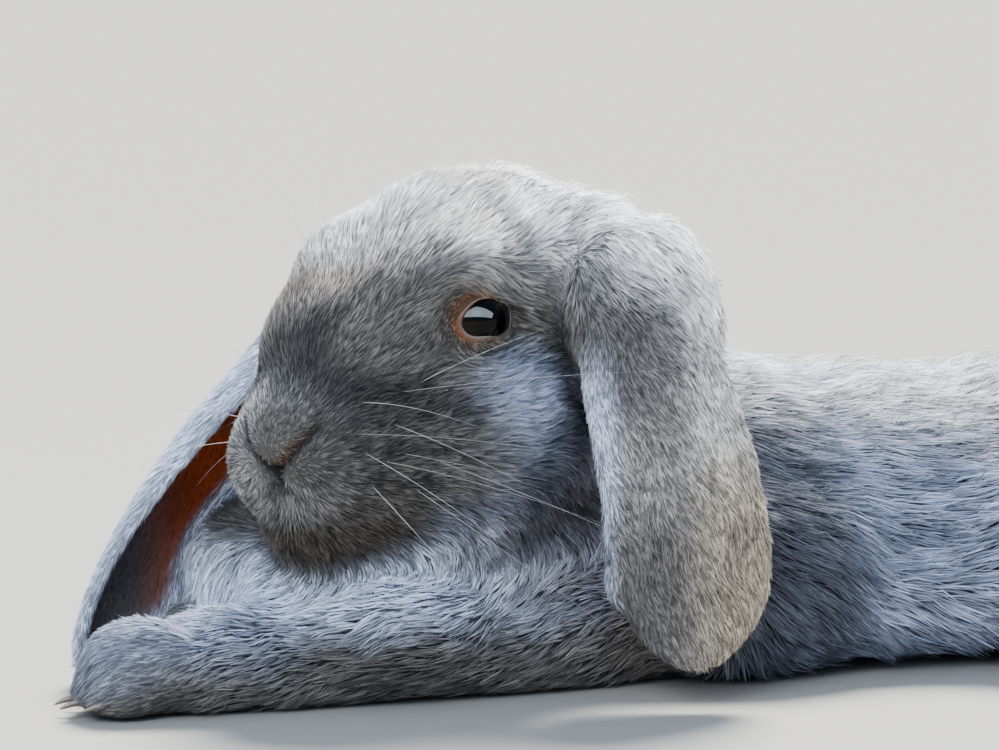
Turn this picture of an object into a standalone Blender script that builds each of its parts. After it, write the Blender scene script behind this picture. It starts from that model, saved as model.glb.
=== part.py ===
"""Lop-eared rabbit, life size, lying on its breast with its head raised and turned to its left.

The form is moulded from named masses: ellipsoids for the muscles and bones that show,
and tapered chains for the limbs. They are fused and smoothed into one body out to the
tips of the coat, and the body is then parted into its members by thin cuts. The ears
are hollow leaves carried along a hanging path. Eyes and claws are pieces of their own.

Frame: +X towards the rump, +Y towards the animal's right side, +Z up, floor at Z = 0.
"""

import math
from typing import NamedTuple

import bmesh
import bpy
from mathutils import Matrix, Vector

MM = 0.001

# Driving dimensions
GAP = 0.3 * MM  # between neighbouring members
BODY_TRIANGLES = 3100
ORIGIN_SHIFT = (-98.72, 6.47)  # moves the body's middle onto the origin, in mm

# The head's own frame: x back from the nose tip, y to the right, z up from the nose tip
NOSE_TIP = (-64.0, -63.0, 71.0)
HEAD_TURN = math.radians(25)
HEAD_PLACE = Matrix.Translation(NOSE_TIP) @ Matrix.Rotation(HEAD_TURN, 4, "Z")
BODY_PLACE = Matrix.Identity(4)

EYE_CENTRE = (52.5, 23.2, 29.0)
EYE_RADIUS = 8.6

CLAW_LENGTH = 7.0
CLAW_RADIUS = 1.3


CLAW_HEIGHT = 5.0  # of the claw's root above the floor
CLAW_REACH = 6.5  # of the claw's root beyond the toe's middle
PAW_LENGTH = 18.0

# Where the members part: centres, radii and slopes in mm and degrees
HEAD_CUT = ((59, 0, -13), (92, 78, 112), 24.6)
NECK_CUT = ((70, 0, -34), (104, 92, 140), 34.0)
TAIL_CUT = ((313, 0, 42), (22, 26, 37))
HAUNCH_CUT = ((226, 68, 38), (78, 44, 62))

FINISHES = {  # colour and roughness
    "fur": ((0.17, 0.17, 0.19), 0.9),
    "eye": ((0.02, 0.015, 0.012), 0.1),
    "claw": ((0.10, 0.08, 0.07), 0.5),
}


class Mass(NamedTuple):
    """One ellipsoid: centre and radii in mm, its tilt in degrees, and whether it has a twin."""

    centre: tuple
    radii: tuple
    pitch: float = 0.0
    yaw: float = 0.0
    pair: bool = False


class Station(NamedTuple):
    """A place along a limb: centre in mm, half its width and half its height."""

    centre: tuple
    half_width: float
    half_height: float


HEAD_MASSES = {
    "nose": Mass((13, 0, 3), (13, 15, 13)),
    "muzzle": Mass((27, 0, -1), (26, 25, 25)),
    "lip_pads": Mass((24, 13, -9), (20, 15, 16), pair=True),
    "chin": Mass((27, 0, -22), (24, 22, 16)),
    "jaw": Mass((50, 0, -17), (37, 32, 22)),
    "nose_bridge": Mass((36, 0, 20), (32, 22, 25), pitch=-28),
    "bridge_sides": Mass((38, 10, 21), (28, 18, 23), pair=True),
    "forehead": Mass((62, 0, 30), (34, 30, 31)),
    "brows": Mass((52, 19, 37), (21, 15, 16), pair=True),
    "cheeks": Mass((63, 20, -4), (34, 24, 31), pair=True),
    "crown": Mass((84, 0, 41), (31, 36, 26)),
    "ear_roots": Mass((90, 30, 42), (22, 22, 22), pair=True),
    "nape": Mass((100, 0, 20), (32, 40, 38)),
}
ORBIT = Mass((52.5, 37, 28.5), (15, 10, 10.5), pair=True)
HEAD_SWELL = 1.2 * MM

EAR_BASE_MASSES = {
    "left_top": Mass((32, -58, 112), (19, 16, 13)),
    "left_fall": Mass((35, -73, 102), (18, 11, 18)),
    "right_top": Mass((-2, 7, 105), (18, 15, 12)),
}

BODY_MASSES = {
    "neck": Mass((54, -6, 56), (44, 40, 38), pitch=20),
    "breast": Mass((10, -14, 35), (56, 60, 38)),
    "dewlap": Mass((-26, -38, 20), (46, 46, 23)),
    "right_breast": Mass((-34, -8, 27), (38, 32, 30)),
    "shoulders": Mass((76, 0, 41), (74, 56, 43)),
    "upper_arms": Mass((74, 54, 26), (46, 28, 28), pair=True),
    "withers": Mass((96, 0, 53), (52, 38, 27)),
    "ribs": Mass((122, 0, 37), (80, 64, 42)),
    "belly": Mass((124, 0, 20), (70, 80, 22)),
    "loin": Mass((176, 0, 36), (76, 64, 42)),
    "thighs": Mass((242, 48, 40), (54, 42, 42), pair=True),
    "stifles": Mass((172, 62, 28), (42, 26, 30), pair=True),
    "rump": Mass((254, 0, 44), (56, 56, 47)),
}
TAIL_MASS = Mass((304, 0, 40), (12, 15, 28), pitch=14)

RIGHT_FORELEG = (
    Station((56, 40, 22), 24, 24),
    Station((18, 36, 18), 19, 19),
    Station((-20, 30, 14), 15, 15),
    Station((-46, 26, 12), 13, 12),
)
LEFT_FORELEG = (
    Station((56, -44, 22), 24, 24),
    Station((10, -54, 18), 20, 20),
    Station((-40, -58, 14.5), 16, 15.5),
    Station((-84, -58, 13.5), 15, 14),
    Station((-99, -57, 13), 14, 13.5),
)
HIND_FOOT = (
    Station((276, 60, 15), 15, 16),
    Station((254, 66, 12), 15, 13),
    Station((202, 75, 10), 14, 11),
    Station((168, 77, 9), 14, 10),
)

# Ears: the crest is the line along the middle of the outer face, from root to tip
EAR_THICKNESS = 4.5
EAR_ROWS = 11
EAR_COLUMNS = 5


class Fold(NamedTuple):
    """A place along an ear: crest, outward direction, roll radius, arc to either side of it."""

    crest: tuple
    outward: tuple
    radius: float
    first_arc: float
    second_arc: float


LEFT_EAR = (
    Fold((24, -44, 112), (-0.1, -0.3, 0.95), 18, 60, 60),
    Fold((32, -62, 129), (-0.1, -0.5, 0.85), 20, 62, 62),
    Fold((34, -85, 119), (-0.25, -0.8, 0.55), 21, 64, 64),
    Fold((32, -98, 92), (-0.33, -0.93, 0.15), 21.5, 65, 65),
    Fold((38, -104, 60), (-0.34, -0.94, 0), 24.5, 66, 66),
    Fold((39.5, -104, 30), (-0.34, -0.94, 0), 27.5, 66, 66),
    Fold((40, -101, 8), (-0.34, -0.94, 0), 27.5, 60, 60),
)
RIGHT_EAR = (
    Fold((6, 8, 112), (-0.1, 0.3, 0.95), 18, 62, 62),
    Fold((-8, 16, 119), (-0.3, 0.45, 0.85), 20, 66, 62),
    Fold((-28, 13, 108), (-0.5, 0.4, 0.75), 21, 72, 60),
    Fold((-50, 2, 88), (-0.65, 0.35, 0.67), 22, 84, 60),
    Fold((-64, 1, 75), (-0.75, 0.3, 0.58), 23, 96, 52),
    Fold((-81, -1, 54), (-0.78, 0.28, 0.56), 24.5, 104, 40),
    Fold((-94, -5, 35), (-0.84, 0.28, 0.46), 24.5, 104, 24),
    Fold((-102, -10, 18), (-0.88, 0.3, 0.37), 23, 96, 15),
    Fold((-105, -14, 5), (-0.9, 0.3, 0.3), 20, 80, 14),
)

LIMBS = {
    "foreleg_right": (RIGHT_FORELEG, 1),
    "foreleg_left": (LEFT_FORELEG, 1),
    "hindfoot_right": (HIND_FOOT, 1),
    "hindfoot_left": (HIND_FOOT, -1),
}

# Toes: how far to each side of the limb's end, in mm
TOE_OFFSETS = (-10.5, -3.6, 3.6, 10.5)


def side(point, sign):
    """The point on the animal's right (sign 1) or left (sign -1)."""
    return (point[0], sign * point[1], point[2])


def add_ellipsoid(shape, place, mass, sign=1, fineness=3):
    """Adds one mass to the bmesh as a scaled icosphere."""
    turn = Matrix.Rotation(math.radians(sign * mass.yaw), 4, "Z") @ Matrix.Rotation(
        math.radians(mass.pitch), 4, "Y"
    )
    stretch = Matrix.Diagonal((*mass.radii, 1.0))
    matrix = place @ Matrix.Translation(side(mass.centre, sign)) @ turn @ stretch
    bmesh.ops.create_icosphere(shape, subdivisions=fineness, radius=1.0, matrix=matrix)


def add_masses(shape, place, masses):
    """Adds every mass of a table, and the mirrored twin of each pair."""
    for mass in masses.values():
        add_ellipsoid(shape, place, mass)
        if mass.pair:
            add_ellipsoid(shape, place, mass, sign=-1)


def add_limb(shape, stations, sign=1, grow=0.0, steps=7):
    """Adds a chain of ellipsoids that tapers from station to station."""
    for first, last in zip(stations, stations[1:]):
        for step in range(steps + 1):
            share = step / steps
            centre = Vector(first.centre).lerp(Vector(last.centre), share)
            wide = first.half_width + share * (last.half_width - first.half_width)
            high = first.half_height + share * (last.half_height - first.half_height)
            radii = (wide + grow, wide + grow, high + grow)
            add_ellipsoid(shape, BODY_PLACE, Mass(tuple(centre), radii), sign)


def new_object(name, mesh):
    """Links a mesh to the scene under a name."""
    thing = bpy.data.objects.new(name, mesh)
    bpy.context.scene.collection.objects.link(thing)
    return thing


def object_from(name, shape):
    """Turns a bmesh built in millimetres into an object in metres."""
    bmesh.ops.scale(shape, vec=(MM, MM, MM), verts=shape.verts)
    mesh = bpy.data.meshes.new(name)
    shape.to_mesh(mesh)
    shape.free()
    return new_object(name, mesh)


def baked(thing):
    """Applies an object's modifiers."""
    graph = bpy.context.evaluated_depsgraph_get()
    mesh = bpy.data.meshes.new_from_object(thing.evaluated_get(graph), depsgraph=graph)
    thing.modifiers.clear()
    thing.data = mesh
    return thing


def fused(thing, voxel, rounds):
    """Fuses overlapping shells into one skin and smooths the creases between them."""
    remesh = thing.modifiers.new("fuse", "REMESH")
    remesh.mode = "VOXEL"
    remesh.voxel_size = voxel * MM
    smooth = thing.modifiers.new("soften", "SMOOTH")
    smooth.factor = 0.5
    smooth.iterations = rounds
    return baked(thing)


def joined(name, things):
    """Puts several meshes into one object."""
    shape = bmesh.new()
    for thing in things:
        shape.from_mesh(thing.data)
        bpy.data.objects.remove(thing)
    mesh = bpy.data.meshes.new(name)
    shape.to_mesh(mesh)
    shape.free()
    return new_object(name, mesh)


def boolean(thing, cutter, operation):
    """Applies one Boolean to an object."""
    modifier = thing.modifiers.new(operation.lower(), "BOOLEAN")
    modifier.operation = operation
    modifier.use_self = True
    modifier.object = cutter
    return baked(thing)


def copy_of(thing, name):
    """A copy with a mesh of its own."""
    return new_object(name, thing.data.copy())


def part_off(whole, name, cutter_maker):
    """Cuts a member from the body. cutter_maker(grow) makes the cutter, grown by that many mm."""
    member = copy_of(whole, name)
    inner = cutter_maker(0.0)
    boolean(member, inner, "INTERSECT")
    outer = cutter_maker(GAP / MM)
    boolean(whole, outer, "DIFFERENCE")
    bpy.data.objects.remove(inner)
    bpy.data.objects.remove(outer)
    return member


def ball_cutter(centre, radii, place=BODY_PLACE):
    """A cutter maker: an ellipsoid."""

    def make(grow):
        shape = bmesh.new()
        grown = tuple(radius + grow for radius in radii)
        add_ellipsoid(shape, place, Mass(centre, grown), fineness=2)
        return object_from("cutter", shape)

    return make


def dome_cutter(centre, radii, slope, place=BODY_PLACE):
    """A cutter maker: the half of an ellipsoid above a plane through its centre.

    slope is the plane's rise towards +x, in degrees."""

    def make(grow):
        shape = bmesh.new()
        grown = tuple(radius + grow for radius in radii)
        add_ellipsoid(shape, Matrix.Identity(4), Mass((0, 0, 0), grown), fineness=2)
        cut = bmesh.ops.bisect_plane(
            shape,
            geom=shape.verts[:] + shape.edges[:] + shape.faces[:],
            plane_co=(0, 0, -grow),
            plane_no=(0, 0, 1),
            clear_inner=True,
        )
        rim = [item for item in cut["geom_cut"] if isinstance(item, bmesh.types.BMEdge)]
        bmesh.ops.contextual_create(shape, geom=rim)
        tilt = Matrix.Rotation(math.radians(-slope), 4, "Y")
        shape.transform(place @ Matrix.Translation(centre) @ tilt)
        bmesh.ops.recalc_face_normals(shape, faces=shape.faces[:])
        return object_from("cutter", shape)

    return make


def box_cutter(low, high):
    """A cutter maker: an upright box between two corners, grown sideways only."""

    def make(grow):
        shape = bmesh.new()
        bmesh.ops.create_cube(shape, size=1.0)
        spans = [top - bottom for bottom, top in zip(low, high)]
        middle = [(top + bottom) / 2 for bottom, top in zip(low, high)]
        stretch = Matrix.Diagonal((spans[0] + 2 * grow, spans[1] + 2 * grow, spans[2], 1))
        shape.transform(Matrix.Translation(middle) @ stretch)
        return object_from("cutter", shape)

    return make


def limb_cutter(stations, sign, clearance):
    """A cutter maker: an eight-sided tube around a limb's chain, with bluntly rounded ends."""

    def make(grow):
        shape = bmesh.new()
        spare = clearance + grow
        centres = [Vector(side(station.centre, sign)) for station in stations]
        places = []
        for index, (centre, station) in enumerate(zip(centres, stations)):
            ahead = centres[min(index + 1, len(centres) - 1)]
            behind = centres[max(index - 1, 0)]
            heading = (ahead - behind).normalized()
            wide, high = station.half_width + spare, station.half_height + spare
            if index == 0:
                places.append((centre - heading * wide, heading, 0.6 * wide, 0.6 * high))
            places.append((centre, heading, wide, high))
            if index == len(centres) - 1:
                reach = wide + 14.0
                places.append((centre + heading * reach * 0.8, heading, wide, high))
                places.append((centre + heading * reach, heading, 0.6 * wide, 0.6 * high))
        rings = []
        for centre, heading, wide, high in places:
            across = Vector((-heading.y, heading.x, 0)).normalized()
            lift = heading.cross(across)
            ring = []
            for turn in range(8):
                angle = math.tau * (turn + 0.5) / 8
                rim = across * wide * math.cos(angle) + lift * high * math.sin(angle)
                ring.append(shape.verts.new(centre + rim * 1.06))
            rings.append(ring)
        for near, far in zip(rings, rings[1:]):
            for turn in range(8):
                following = (turn + 1) % 8
                shape.faces.new((near[turn], near[following], far[following]))
                shape.faces.new((near[turn], far[following], far[turn]))
        shape.faces.new(rings[0])
        shape.faces.new(rings[-1])
        bmesh.ops.recalc_face_normals(shape, faces=shape.faces[:])
        return object_from("cutter", shape)

    return make


def largest_piece(thing):
    """Keeps the one big shell of an object, without the loose slivers of a cut."""
    shape = bmesh.new()
    shape.from_mesh(thing.data)
    left = set(shape.faces)
    shells = []
    while left:
        shell, front = set(), [left.pop()]
        while front:
            face = front.pop()
            shell.add(face)
            for edge in face.edges:
                for other in edge.link_faces:
                    if other in left:
                        left.discard(other)
                        front.append(other)
        shells.append(shell)
    shells.sort(key=len)
    loose = [face for shell in shells[:-1] for face in shell]
    bmesh.ops.delete(shape, geom=loose, context="FACES")
    bmesh.ops.recalc_face_normals(shape, faces=shape.faces[:])
    shape.to_mesh(thing.data)
    shape.free()
    return thing


def toe_places(stations, sign=1):
    """The four toes at a limb's end: centres, and the limb's heading there."""
    last, before = Vector(stations[-1].centre), Vector(stations[-2].centre)
    heading = (last - before).normalized()
    across = Vector((-heading.y, heading.x, 0)).normalized()
    places = []
    for offset in TOE_OFFSETS:
        reach = 7.5 - 0.045 * offset * offset
        centre = last + across * offset + heading * reach
        places.append((Vector(side(centre, sign)), Vector(side(heading, sign))))
    return places


def add_toes(shape, stations, sign=1):
    """Adds four rounded toes, one behind the other's side, to a limb's end."""
    for centre, heading in toe_places(stations, sign):
        yaw = math.degrees(math.atan2(heading.y, heading.x))
        toe = Mass((centre.x, centre.y, 7.0), (11.0, 4.2, 7.5), yaw=yaw)
        add_ellipsoid(shape, BODY_PLACE, toe)


def moulded_body():
    """The whole body, head to tail, as one smooth closed form resting on the floor."""
    trunk = bmesh.new()
    add_masses(trunk, BODY_PLACE, BODY_MASSES)
    trunk = fused(object_from("trunk_form", trunk), voxel=4.0, rounds=26)
    head = bmesh.new()
    add_masses(head, HEAD_PLACE, HEAD_MASSES)
    add_masses(head, BODY_PLACE, EAR_BASE_MASSES)
    head = fused(object_from("head_form", head), voxel=2.5, rounds=30)
    swell = head.modifiers.new("swell", "DISPLACE")
    swell.mid_level = 0.0
    swell.strength = HEAD_SWELL
    head = baked(head)
    dents = bmesh.new()
    add_masses(dents, HEAD_PLACE, {"orbit": ORBIT})
    dents = object_from("dents", dents)
    boolean(head, dents, "DIFFERENCE")
    bpy.data.objects.remove(dents)
    head = fused(head, voxel=2.0, rounds=8)
    limbs = bmesh.new()
    for stations, sign in LIMBS.values():
        add_limb(limbs, stations, sign)
        add_toes(limbs, stations, sign)
    add_ellipsoid(limbs, BODY_PLACE, TAIL_MASS)
    limbs = fused(object_from("limb_form", limbs), voxel=1.6, rounds=3)
    body = fused(joined("body_form", [trunk, head, limbs]), voxel=2.0, rounds=3)
    thin = body.modifiers.new("thin", "DECIMATE")
    thin.ratio = BODY_TRIANGLES / (2 * len(body.data.polygons))
    body = baked(body)
    floor = box_cutter((-400, -400, 0), (600, 400, 400))(0.0)
    boolean(body, floor, "INTERSECT")
    bpy.data.objects.remove(floor)
    return body


def smooth_between(rows, share):
    """Catmull-Rom blend of a list of equal-length number rows, share running from 0 to 1."""
    place = share * (len(rows) - 1)
    index = min(int(place), len(rows) - 2)
    t = place - index
    before = rows[max(index - 1, 0)]
    here, there = rows[index], rows[index + 1]
    after = rows[min(index + 2, len(rows) - 1)]
    return [
        0.5 * (2 * b + (c - a) * t + (2 * a - 5 * b + 4 * c - d) * t**2 + (3 * b - a - 3 * c + d) * t**3)
        for a, b, c, d in zip(before, here, there, after)
    ]


def ear_leaf(name, folds):
    """An ear: a curled leaf swept along its crest, rounded at the tip, of even thickness."""
    rows = [(*fold.crest, *fold.outward, *fold[2:]) for fold in folds]
    shape = bmesh.new()
    grid = []
    for row in range(EAR_ROWS):
        share = row / (EAR_ROWS - 1)
        values = smooth_between(rows, share)
        crest = Vector(values[0:3])
        ahead = Vector(smooth_between(rows, min(share + 0.02, 1.0))[0:3])
        behind = Vector(smooth_between(rows, max(share - 0.02, 0.0))[0:3])
        along = (ahead - behind).normalized()
        outward = Vector(values[3:6])
        outward = (outward - along * outward.dot(along)).normalized()
        across = along.cross(outward)
        radius, first_arc, second_arc = values[6:9]
        past = max(0.0, (share - 0.74) / 0.26)
        narrowing = max(0.22, math.sqrt(max(0.0, 1.0 - past**2.4)))
        line = []
        for column in range(EAR_COLUMNS + 1):
            swing = -second_arc + (first_arc + second_arc) * column / EAR_COLUMNS
            angle = math.radians(swing * narrowing)
            offset = across * math.sin(angle) - outward * (1.0 - math.cos(angle))
            line.append(shape.verts.new(crest + offset * radius))
        grid.append(line)
    for upper, lower in zip(grid, grid[1:]):
        for column in range(EAR_COLUMNS):
            corners = (upper[column], upper[column + 1], lower[column + 1], lower[column])
            shape.faces.new(corners)
    leaf = object_from(name, shape)
    thick = leaf.modifiers.new("thick", "SOLIDIFY")
    thick.thickness = EAR_THICKNESS * MM
    thick.offset = -1.0
    rounding = leaf.modifiers.new("rounding", "SUBSURF")
    rounding.levels = 1
    rounding.render_levels = 1
    return baked(leaf)


def grown(thing, name, distance):
    """A copy of a closed form, swollen outwards by a small distance."""
    copy = copy_of(thing, name)
    swell = copy.modifiers.new("swell", "DISPLACE")
    swell.mid_level = 0.0
    swell.strength = distance
    return baked(copy)


def eyeball(name, sign):
    """An eyeball in the head's frame."""
    shape = bmesh.new()
    place = HEAD_PLACE @ Matrix.Translation(side(EYE_CENTRE, sign))
    bmesh.ops.create_uvsphere(
        shape, u_segments=14, v_segments=8, radius=EYE_RADIUS, matrix=place
    )
    return object_from(name, shape)


def add_claw(shape, centre, heading, swell=0.0):
    """Adds a curved claw: rings that shrink as they run forward and dip downwards."""
    frame = heading.to_track_quat("X", "Z").to_matrix().to_4x4()
    rings = []
    for step in range(3):
        share = step / 3
        reach = CLAW_LENGTH * share - swell * (step == 0)
        drop = 1.9 * share**2
        radius = CLAW_RADIUS * (1.0 - 0.7 * share) + swell
        middle = Vector((reach, 0, -drop))
        ring = []
        for turn in range(6):
            angle = math.tau * turn / 6
            rim = middle + Vector((0, 0.85 * math.cos(angle), math.sin(angle))) * radius
            ring.append(shape.verts.new(centre + frame @ rim))
        rings.append(ring)
    tip = shape.verts.new(centre + frame @ Vector((CLAW_LENGTH + swell, 0, -1.9 - swell)))
    for near, far in zip(rings, rings[1:]):
        for turn in range(6):
            following = (turn + 1) % 6
            shape.faces.new((near[turn], near[following], far[following], far[turn]))
    shape.faces.new(list(reversed(rings[0])))
    for turn in range(6):
        shape.faces.new((rings[-1][turn], rings[-1][(turn + 1) % 6], tip))
    bmesh.ops.recalc_face_normals(shape, faces=shape.faces[:])


def fit_claws(paw, stations, sign, label):
    """Makes the claws of one paw, and opens a close socket for each in the paw."""
    sockets = bmesh.new()
    claws = []
    for number, (centre, heading) in enumerate(toe_places(stations, sign), start=1):
        root = Vector((centre.x, centre.y, CLAW_HEIGHT)) + heading * CLAW_REACH
        shape = bmesh.new()
        add_claw(shape, root, heading)
        claws.append(object_from(f"claw_{label}_{number}", shape))
        add_claw(sockets, root, heading, swell=GAP / MM)
    sockets = object_from("sockets", sockets)
    boolean(paw, sockets, "DIFFERENCE")
    bpy.data.objects.remove(sockets)
    return claws


def paint(thing, finish, collection):
    """Gives a finished part its material and smooth shading, and files it."""
    material = bpy.data.materials.new(f"{thing.name}_{finish}")
    material.use_nodes = True
    colour, roughness = FINISHES[finish]
    shader = material.node_tree.nodes["Principled BSDF"]
    shader.inputs["Base Color"].default_value = (*colour, 1.0)
    shader.inputs["Roughness"].default_value = roughness
    thing.data.materials.clear()
    thing.data.materials.append(material)
    thing.data.polygons.foreach_set("use_smooth", [True] * len(thing.data.polygons))
    for owner in list(thing.users_collection):
        owner.objects.unlink(thing)
    collection.objects.link(thing)


def settle(thing):
    """Moves a finished part so that the whole rabbit stands over the origin."""
    shift = Vector((ORIGIN_SHIFT[0] * MM, ORIGIN_SHIFT[1] * MM, 0))
    thing.data.transform(Matrix.Translation(shift))


def main():
    """Builds the rabbit."""
    for thing in list(bpy.data.objects):
        bpy.data.objects.remove(thing)
    body = moulded_body()
    furred, bare, horny = [], [], []

    margin = grown(body, "margin", GAP)
    for name, folds in (("ear_left", LEFT_EAR), ("ear_right", RIGHT_EAR)):
        ear = ear_leaf(name, folds)
        boolean(ear, margin, "DIFFERENCE")
        furred.append(largest_piece(ear))
    bpy.data.objects.remove(margin)

    head = part_off(body, "head", dome_cutter(*HEAD_CUT, place=HEAD_PLACE))
    for name, sign in (("eye_left", -1), ("eye_right", 1)):
        eye = eyeball(name, sign)
        socket = grown(eye, "socket", GAP)
        boolean(head, socket, "DIFFERENCE")
        bpy.data.objects.remove(socket)
        bare.append(eye)

    for name, (stations, sign) in LIMBS.items():
        hind = name.startswith("hind")
        limb = part_off(body, name, limb_cutter(stations, sign, 3.0 if hind else 5.0))
        largest_piece(body)
        if not hind:
            wrist = stations[-1].centre[0] + PAW_LENGTH
            ahead = box_cutter((wrist - 200, -200, -50), (wrist, 200, 200))
            paw = part_off(limb, name.replace("leg", "paw"), ahead)
            furred.append(largest_piece(limb))
            limb = paw
        horny.extend(fit_claws(limb, stations, sign, name))
        furred.append(largest_piece(limb))

    neck = part_off(body, "neck", dome_cutter(*NECK_CUT, place=HEAD_PLACE))
    tail = part_off(body, "tail", ball_cutter(*TAIL_CUT))
    furred.extend(largest_piece(thing) for thing in (head, neck, tail))
    for name, sign in (("hindleg_right", 1), ("hindleg_left", -1)):
        centre, radii = HAUNCH_CUT
        leg = part_off(body, name, ball_cutter(side(centre, sign), radii))
        furred.append(largest_piece(leg))
    body.name = "trunk"
    furred.append(largest_piece(body))

    collection = bpy.data.collections.new("rabbit")
    bpy.context.scene.collection.children.link(collection)
    for things, finish in ((furred, "fur"), (bare, "eye"), (horny, "claw")):
        for thing in things:
            settle(thing)
            paint(thing, finish, collection)


main()
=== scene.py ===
"""A lop rabbit at rest, over its frame: one skin, a coat of tufts, eyes, claws and whiskers."""

import logging
import math
from dataclasses import dataclass, field
from enum import Enum
from typing import Callable

import bmesh
import bpy
import numpy as np
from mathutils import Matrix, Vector


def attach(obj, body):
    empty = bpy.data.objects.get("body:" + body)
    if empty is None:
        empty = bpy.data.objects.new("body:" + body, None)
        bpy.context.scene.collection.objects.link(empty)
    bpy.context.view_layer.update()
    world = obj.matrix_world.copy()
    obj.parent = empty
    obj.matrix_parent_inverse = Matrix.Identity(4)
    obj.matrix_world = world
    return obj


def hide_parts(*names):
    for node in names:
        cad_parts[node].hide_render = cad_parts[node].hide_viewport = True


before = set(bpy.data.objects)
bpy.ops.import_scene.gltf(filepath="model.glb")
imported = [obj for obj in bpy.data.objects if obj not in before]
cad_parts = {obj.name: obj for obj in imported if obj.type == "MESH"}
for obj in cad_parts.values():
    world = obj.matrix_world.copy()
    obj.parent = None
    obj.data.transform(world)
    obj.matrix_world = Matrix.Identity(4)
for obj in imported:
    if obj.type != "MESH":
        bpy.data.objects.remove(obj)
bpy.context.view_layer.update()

LOG = logging.getLogger("rabbit")
MM = 0.001
BODY = "root"
TONE = "tone"
BAKE_MAP = "OFBake"

Place = tuple[float, float, float]
Colour = tuple[float, float, float]


# ---------------------------------------------------------------- number work on whole arrays


def smoothstep(low: float, high: float, value: np.ndarray) -> np.ndarray:
    """Runs from 0 at low to 1 at high with level ends: 3t^2 - 2t^3.

    Args:
        low: where the result is 0.
        high: where the result is 1.
        value: the numbers to grade.

    Returns:
        The graded numbers.
    """
    t = np.clip((value - low) / (high - low), 0.0, 1.0)
    return t * t * (3.0 - 2.0 * t)


def unit(vectors: np.ndarray) -> np.ndarray:
    """Each row divided by its length."""
    return vectors / np.maximum(np.linalg.norm(vectors, axis=-1, keepdims=True), 1e-12)


def dot(first: np.ndarray, second: np.ndarray) -> np.ndarray:
    """Row by row dot products, kept as a column."""
    return np.sum(first * second, axis=-1, keepdims=True)


def hashed(cells: np.ndarray, seed: int) -> np.ndarray:
    """A repeatable number from 0 to 1 for each row of three whole numbers.

    Args:
        cells: whole-number coordinates, one cell a row.
        seed: picks one of many such fields.

    Returns:
        One number a row.
    """
    primes, seed_step, stir, lowest_24_bits = (73856093, 19349663, 83492791), 2654435761, 1274126177, 0xFFFFFF
    mixed = cells.astype(np.int64) @ np.array(primes) + seed * seed_step
    mixed = (mixed ^ (mixed >> 13)) * stir
    mixed = mixed ^ (mixed >> 16)
    return (mixed & lowest_24_bits) / float(lowest_24_bits)


def cloud_noise(points: np.ndarray, cell: float, seed: int) -> np.ndarray:
    """Soft noise from 0 to 1: the eight corner values of a cube lattice, blended across each cube.

    Args:
        points: places in metres.
        cell: the lattice's spacing in metres.
        seed: picks one of many such fields.

    Returns:
        One number a point.
    """
    scaled = points / cell
    base = np.floor(scaled).astype(np.int64)
    part = scaled - base
    part = part * part * (3.0 - 2.0 * part)
    total = np.zeros(len(points))
    for corner in np.ndindex(2, 2, 2):
        share = np.prod(np.where(np.array(corner) == 1, part, 1.0 - part), axis=1)
        total += share * hashed(base + np.array(corner), seed)
    return total


def clump_numbers(points: np.ndarray, cell: float, seed: int) -> np.ndarray:
    """Numbers the clump that each point belongs to: the nearest of one random centre in each cube.

    Args:
        points: places in metres.
        cell: the cubes' size in metres.
        seed: picks the centres.

    Returns:
        A whole number a point, the same for points of one clump.
    """
    base = np.floor(points / cell).astype(np.int64)
    nearest = np.full(len(points), np.inf)
    owner = np.zeros((len(points), 3), np.int64)
    for step in np.ndindex(3, 3, 3):
        near_cell = base + np.array(step) - 1
        centre = np.stack([hashed(near_cell, seed + axis) for axis in range(3)], axis=1)
        gap = np.linalg.norm((near_cell + centre) * cell - points, axis=1)
        closer = gap < nearest
        nearest[closer] = gap[closer]
        owner[closer] = near_cell[closer]
    return np.unique(owner, axis=0, return_inverse=True)[1].ravel()


def group_mean(values: np.ndarray, groups: np.ndarray) -> np.ndarray:
    """The mean row of each group, given back to every member."""
    count = np.bincount(groups)
    columns = [np.bincount(groups, values[:, axis]) / count for axis in range(values.shape[1])]
    return np.stack(columns, axis=1)[groups]


# ---------------------------------------------------------------- surfaces


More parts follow.
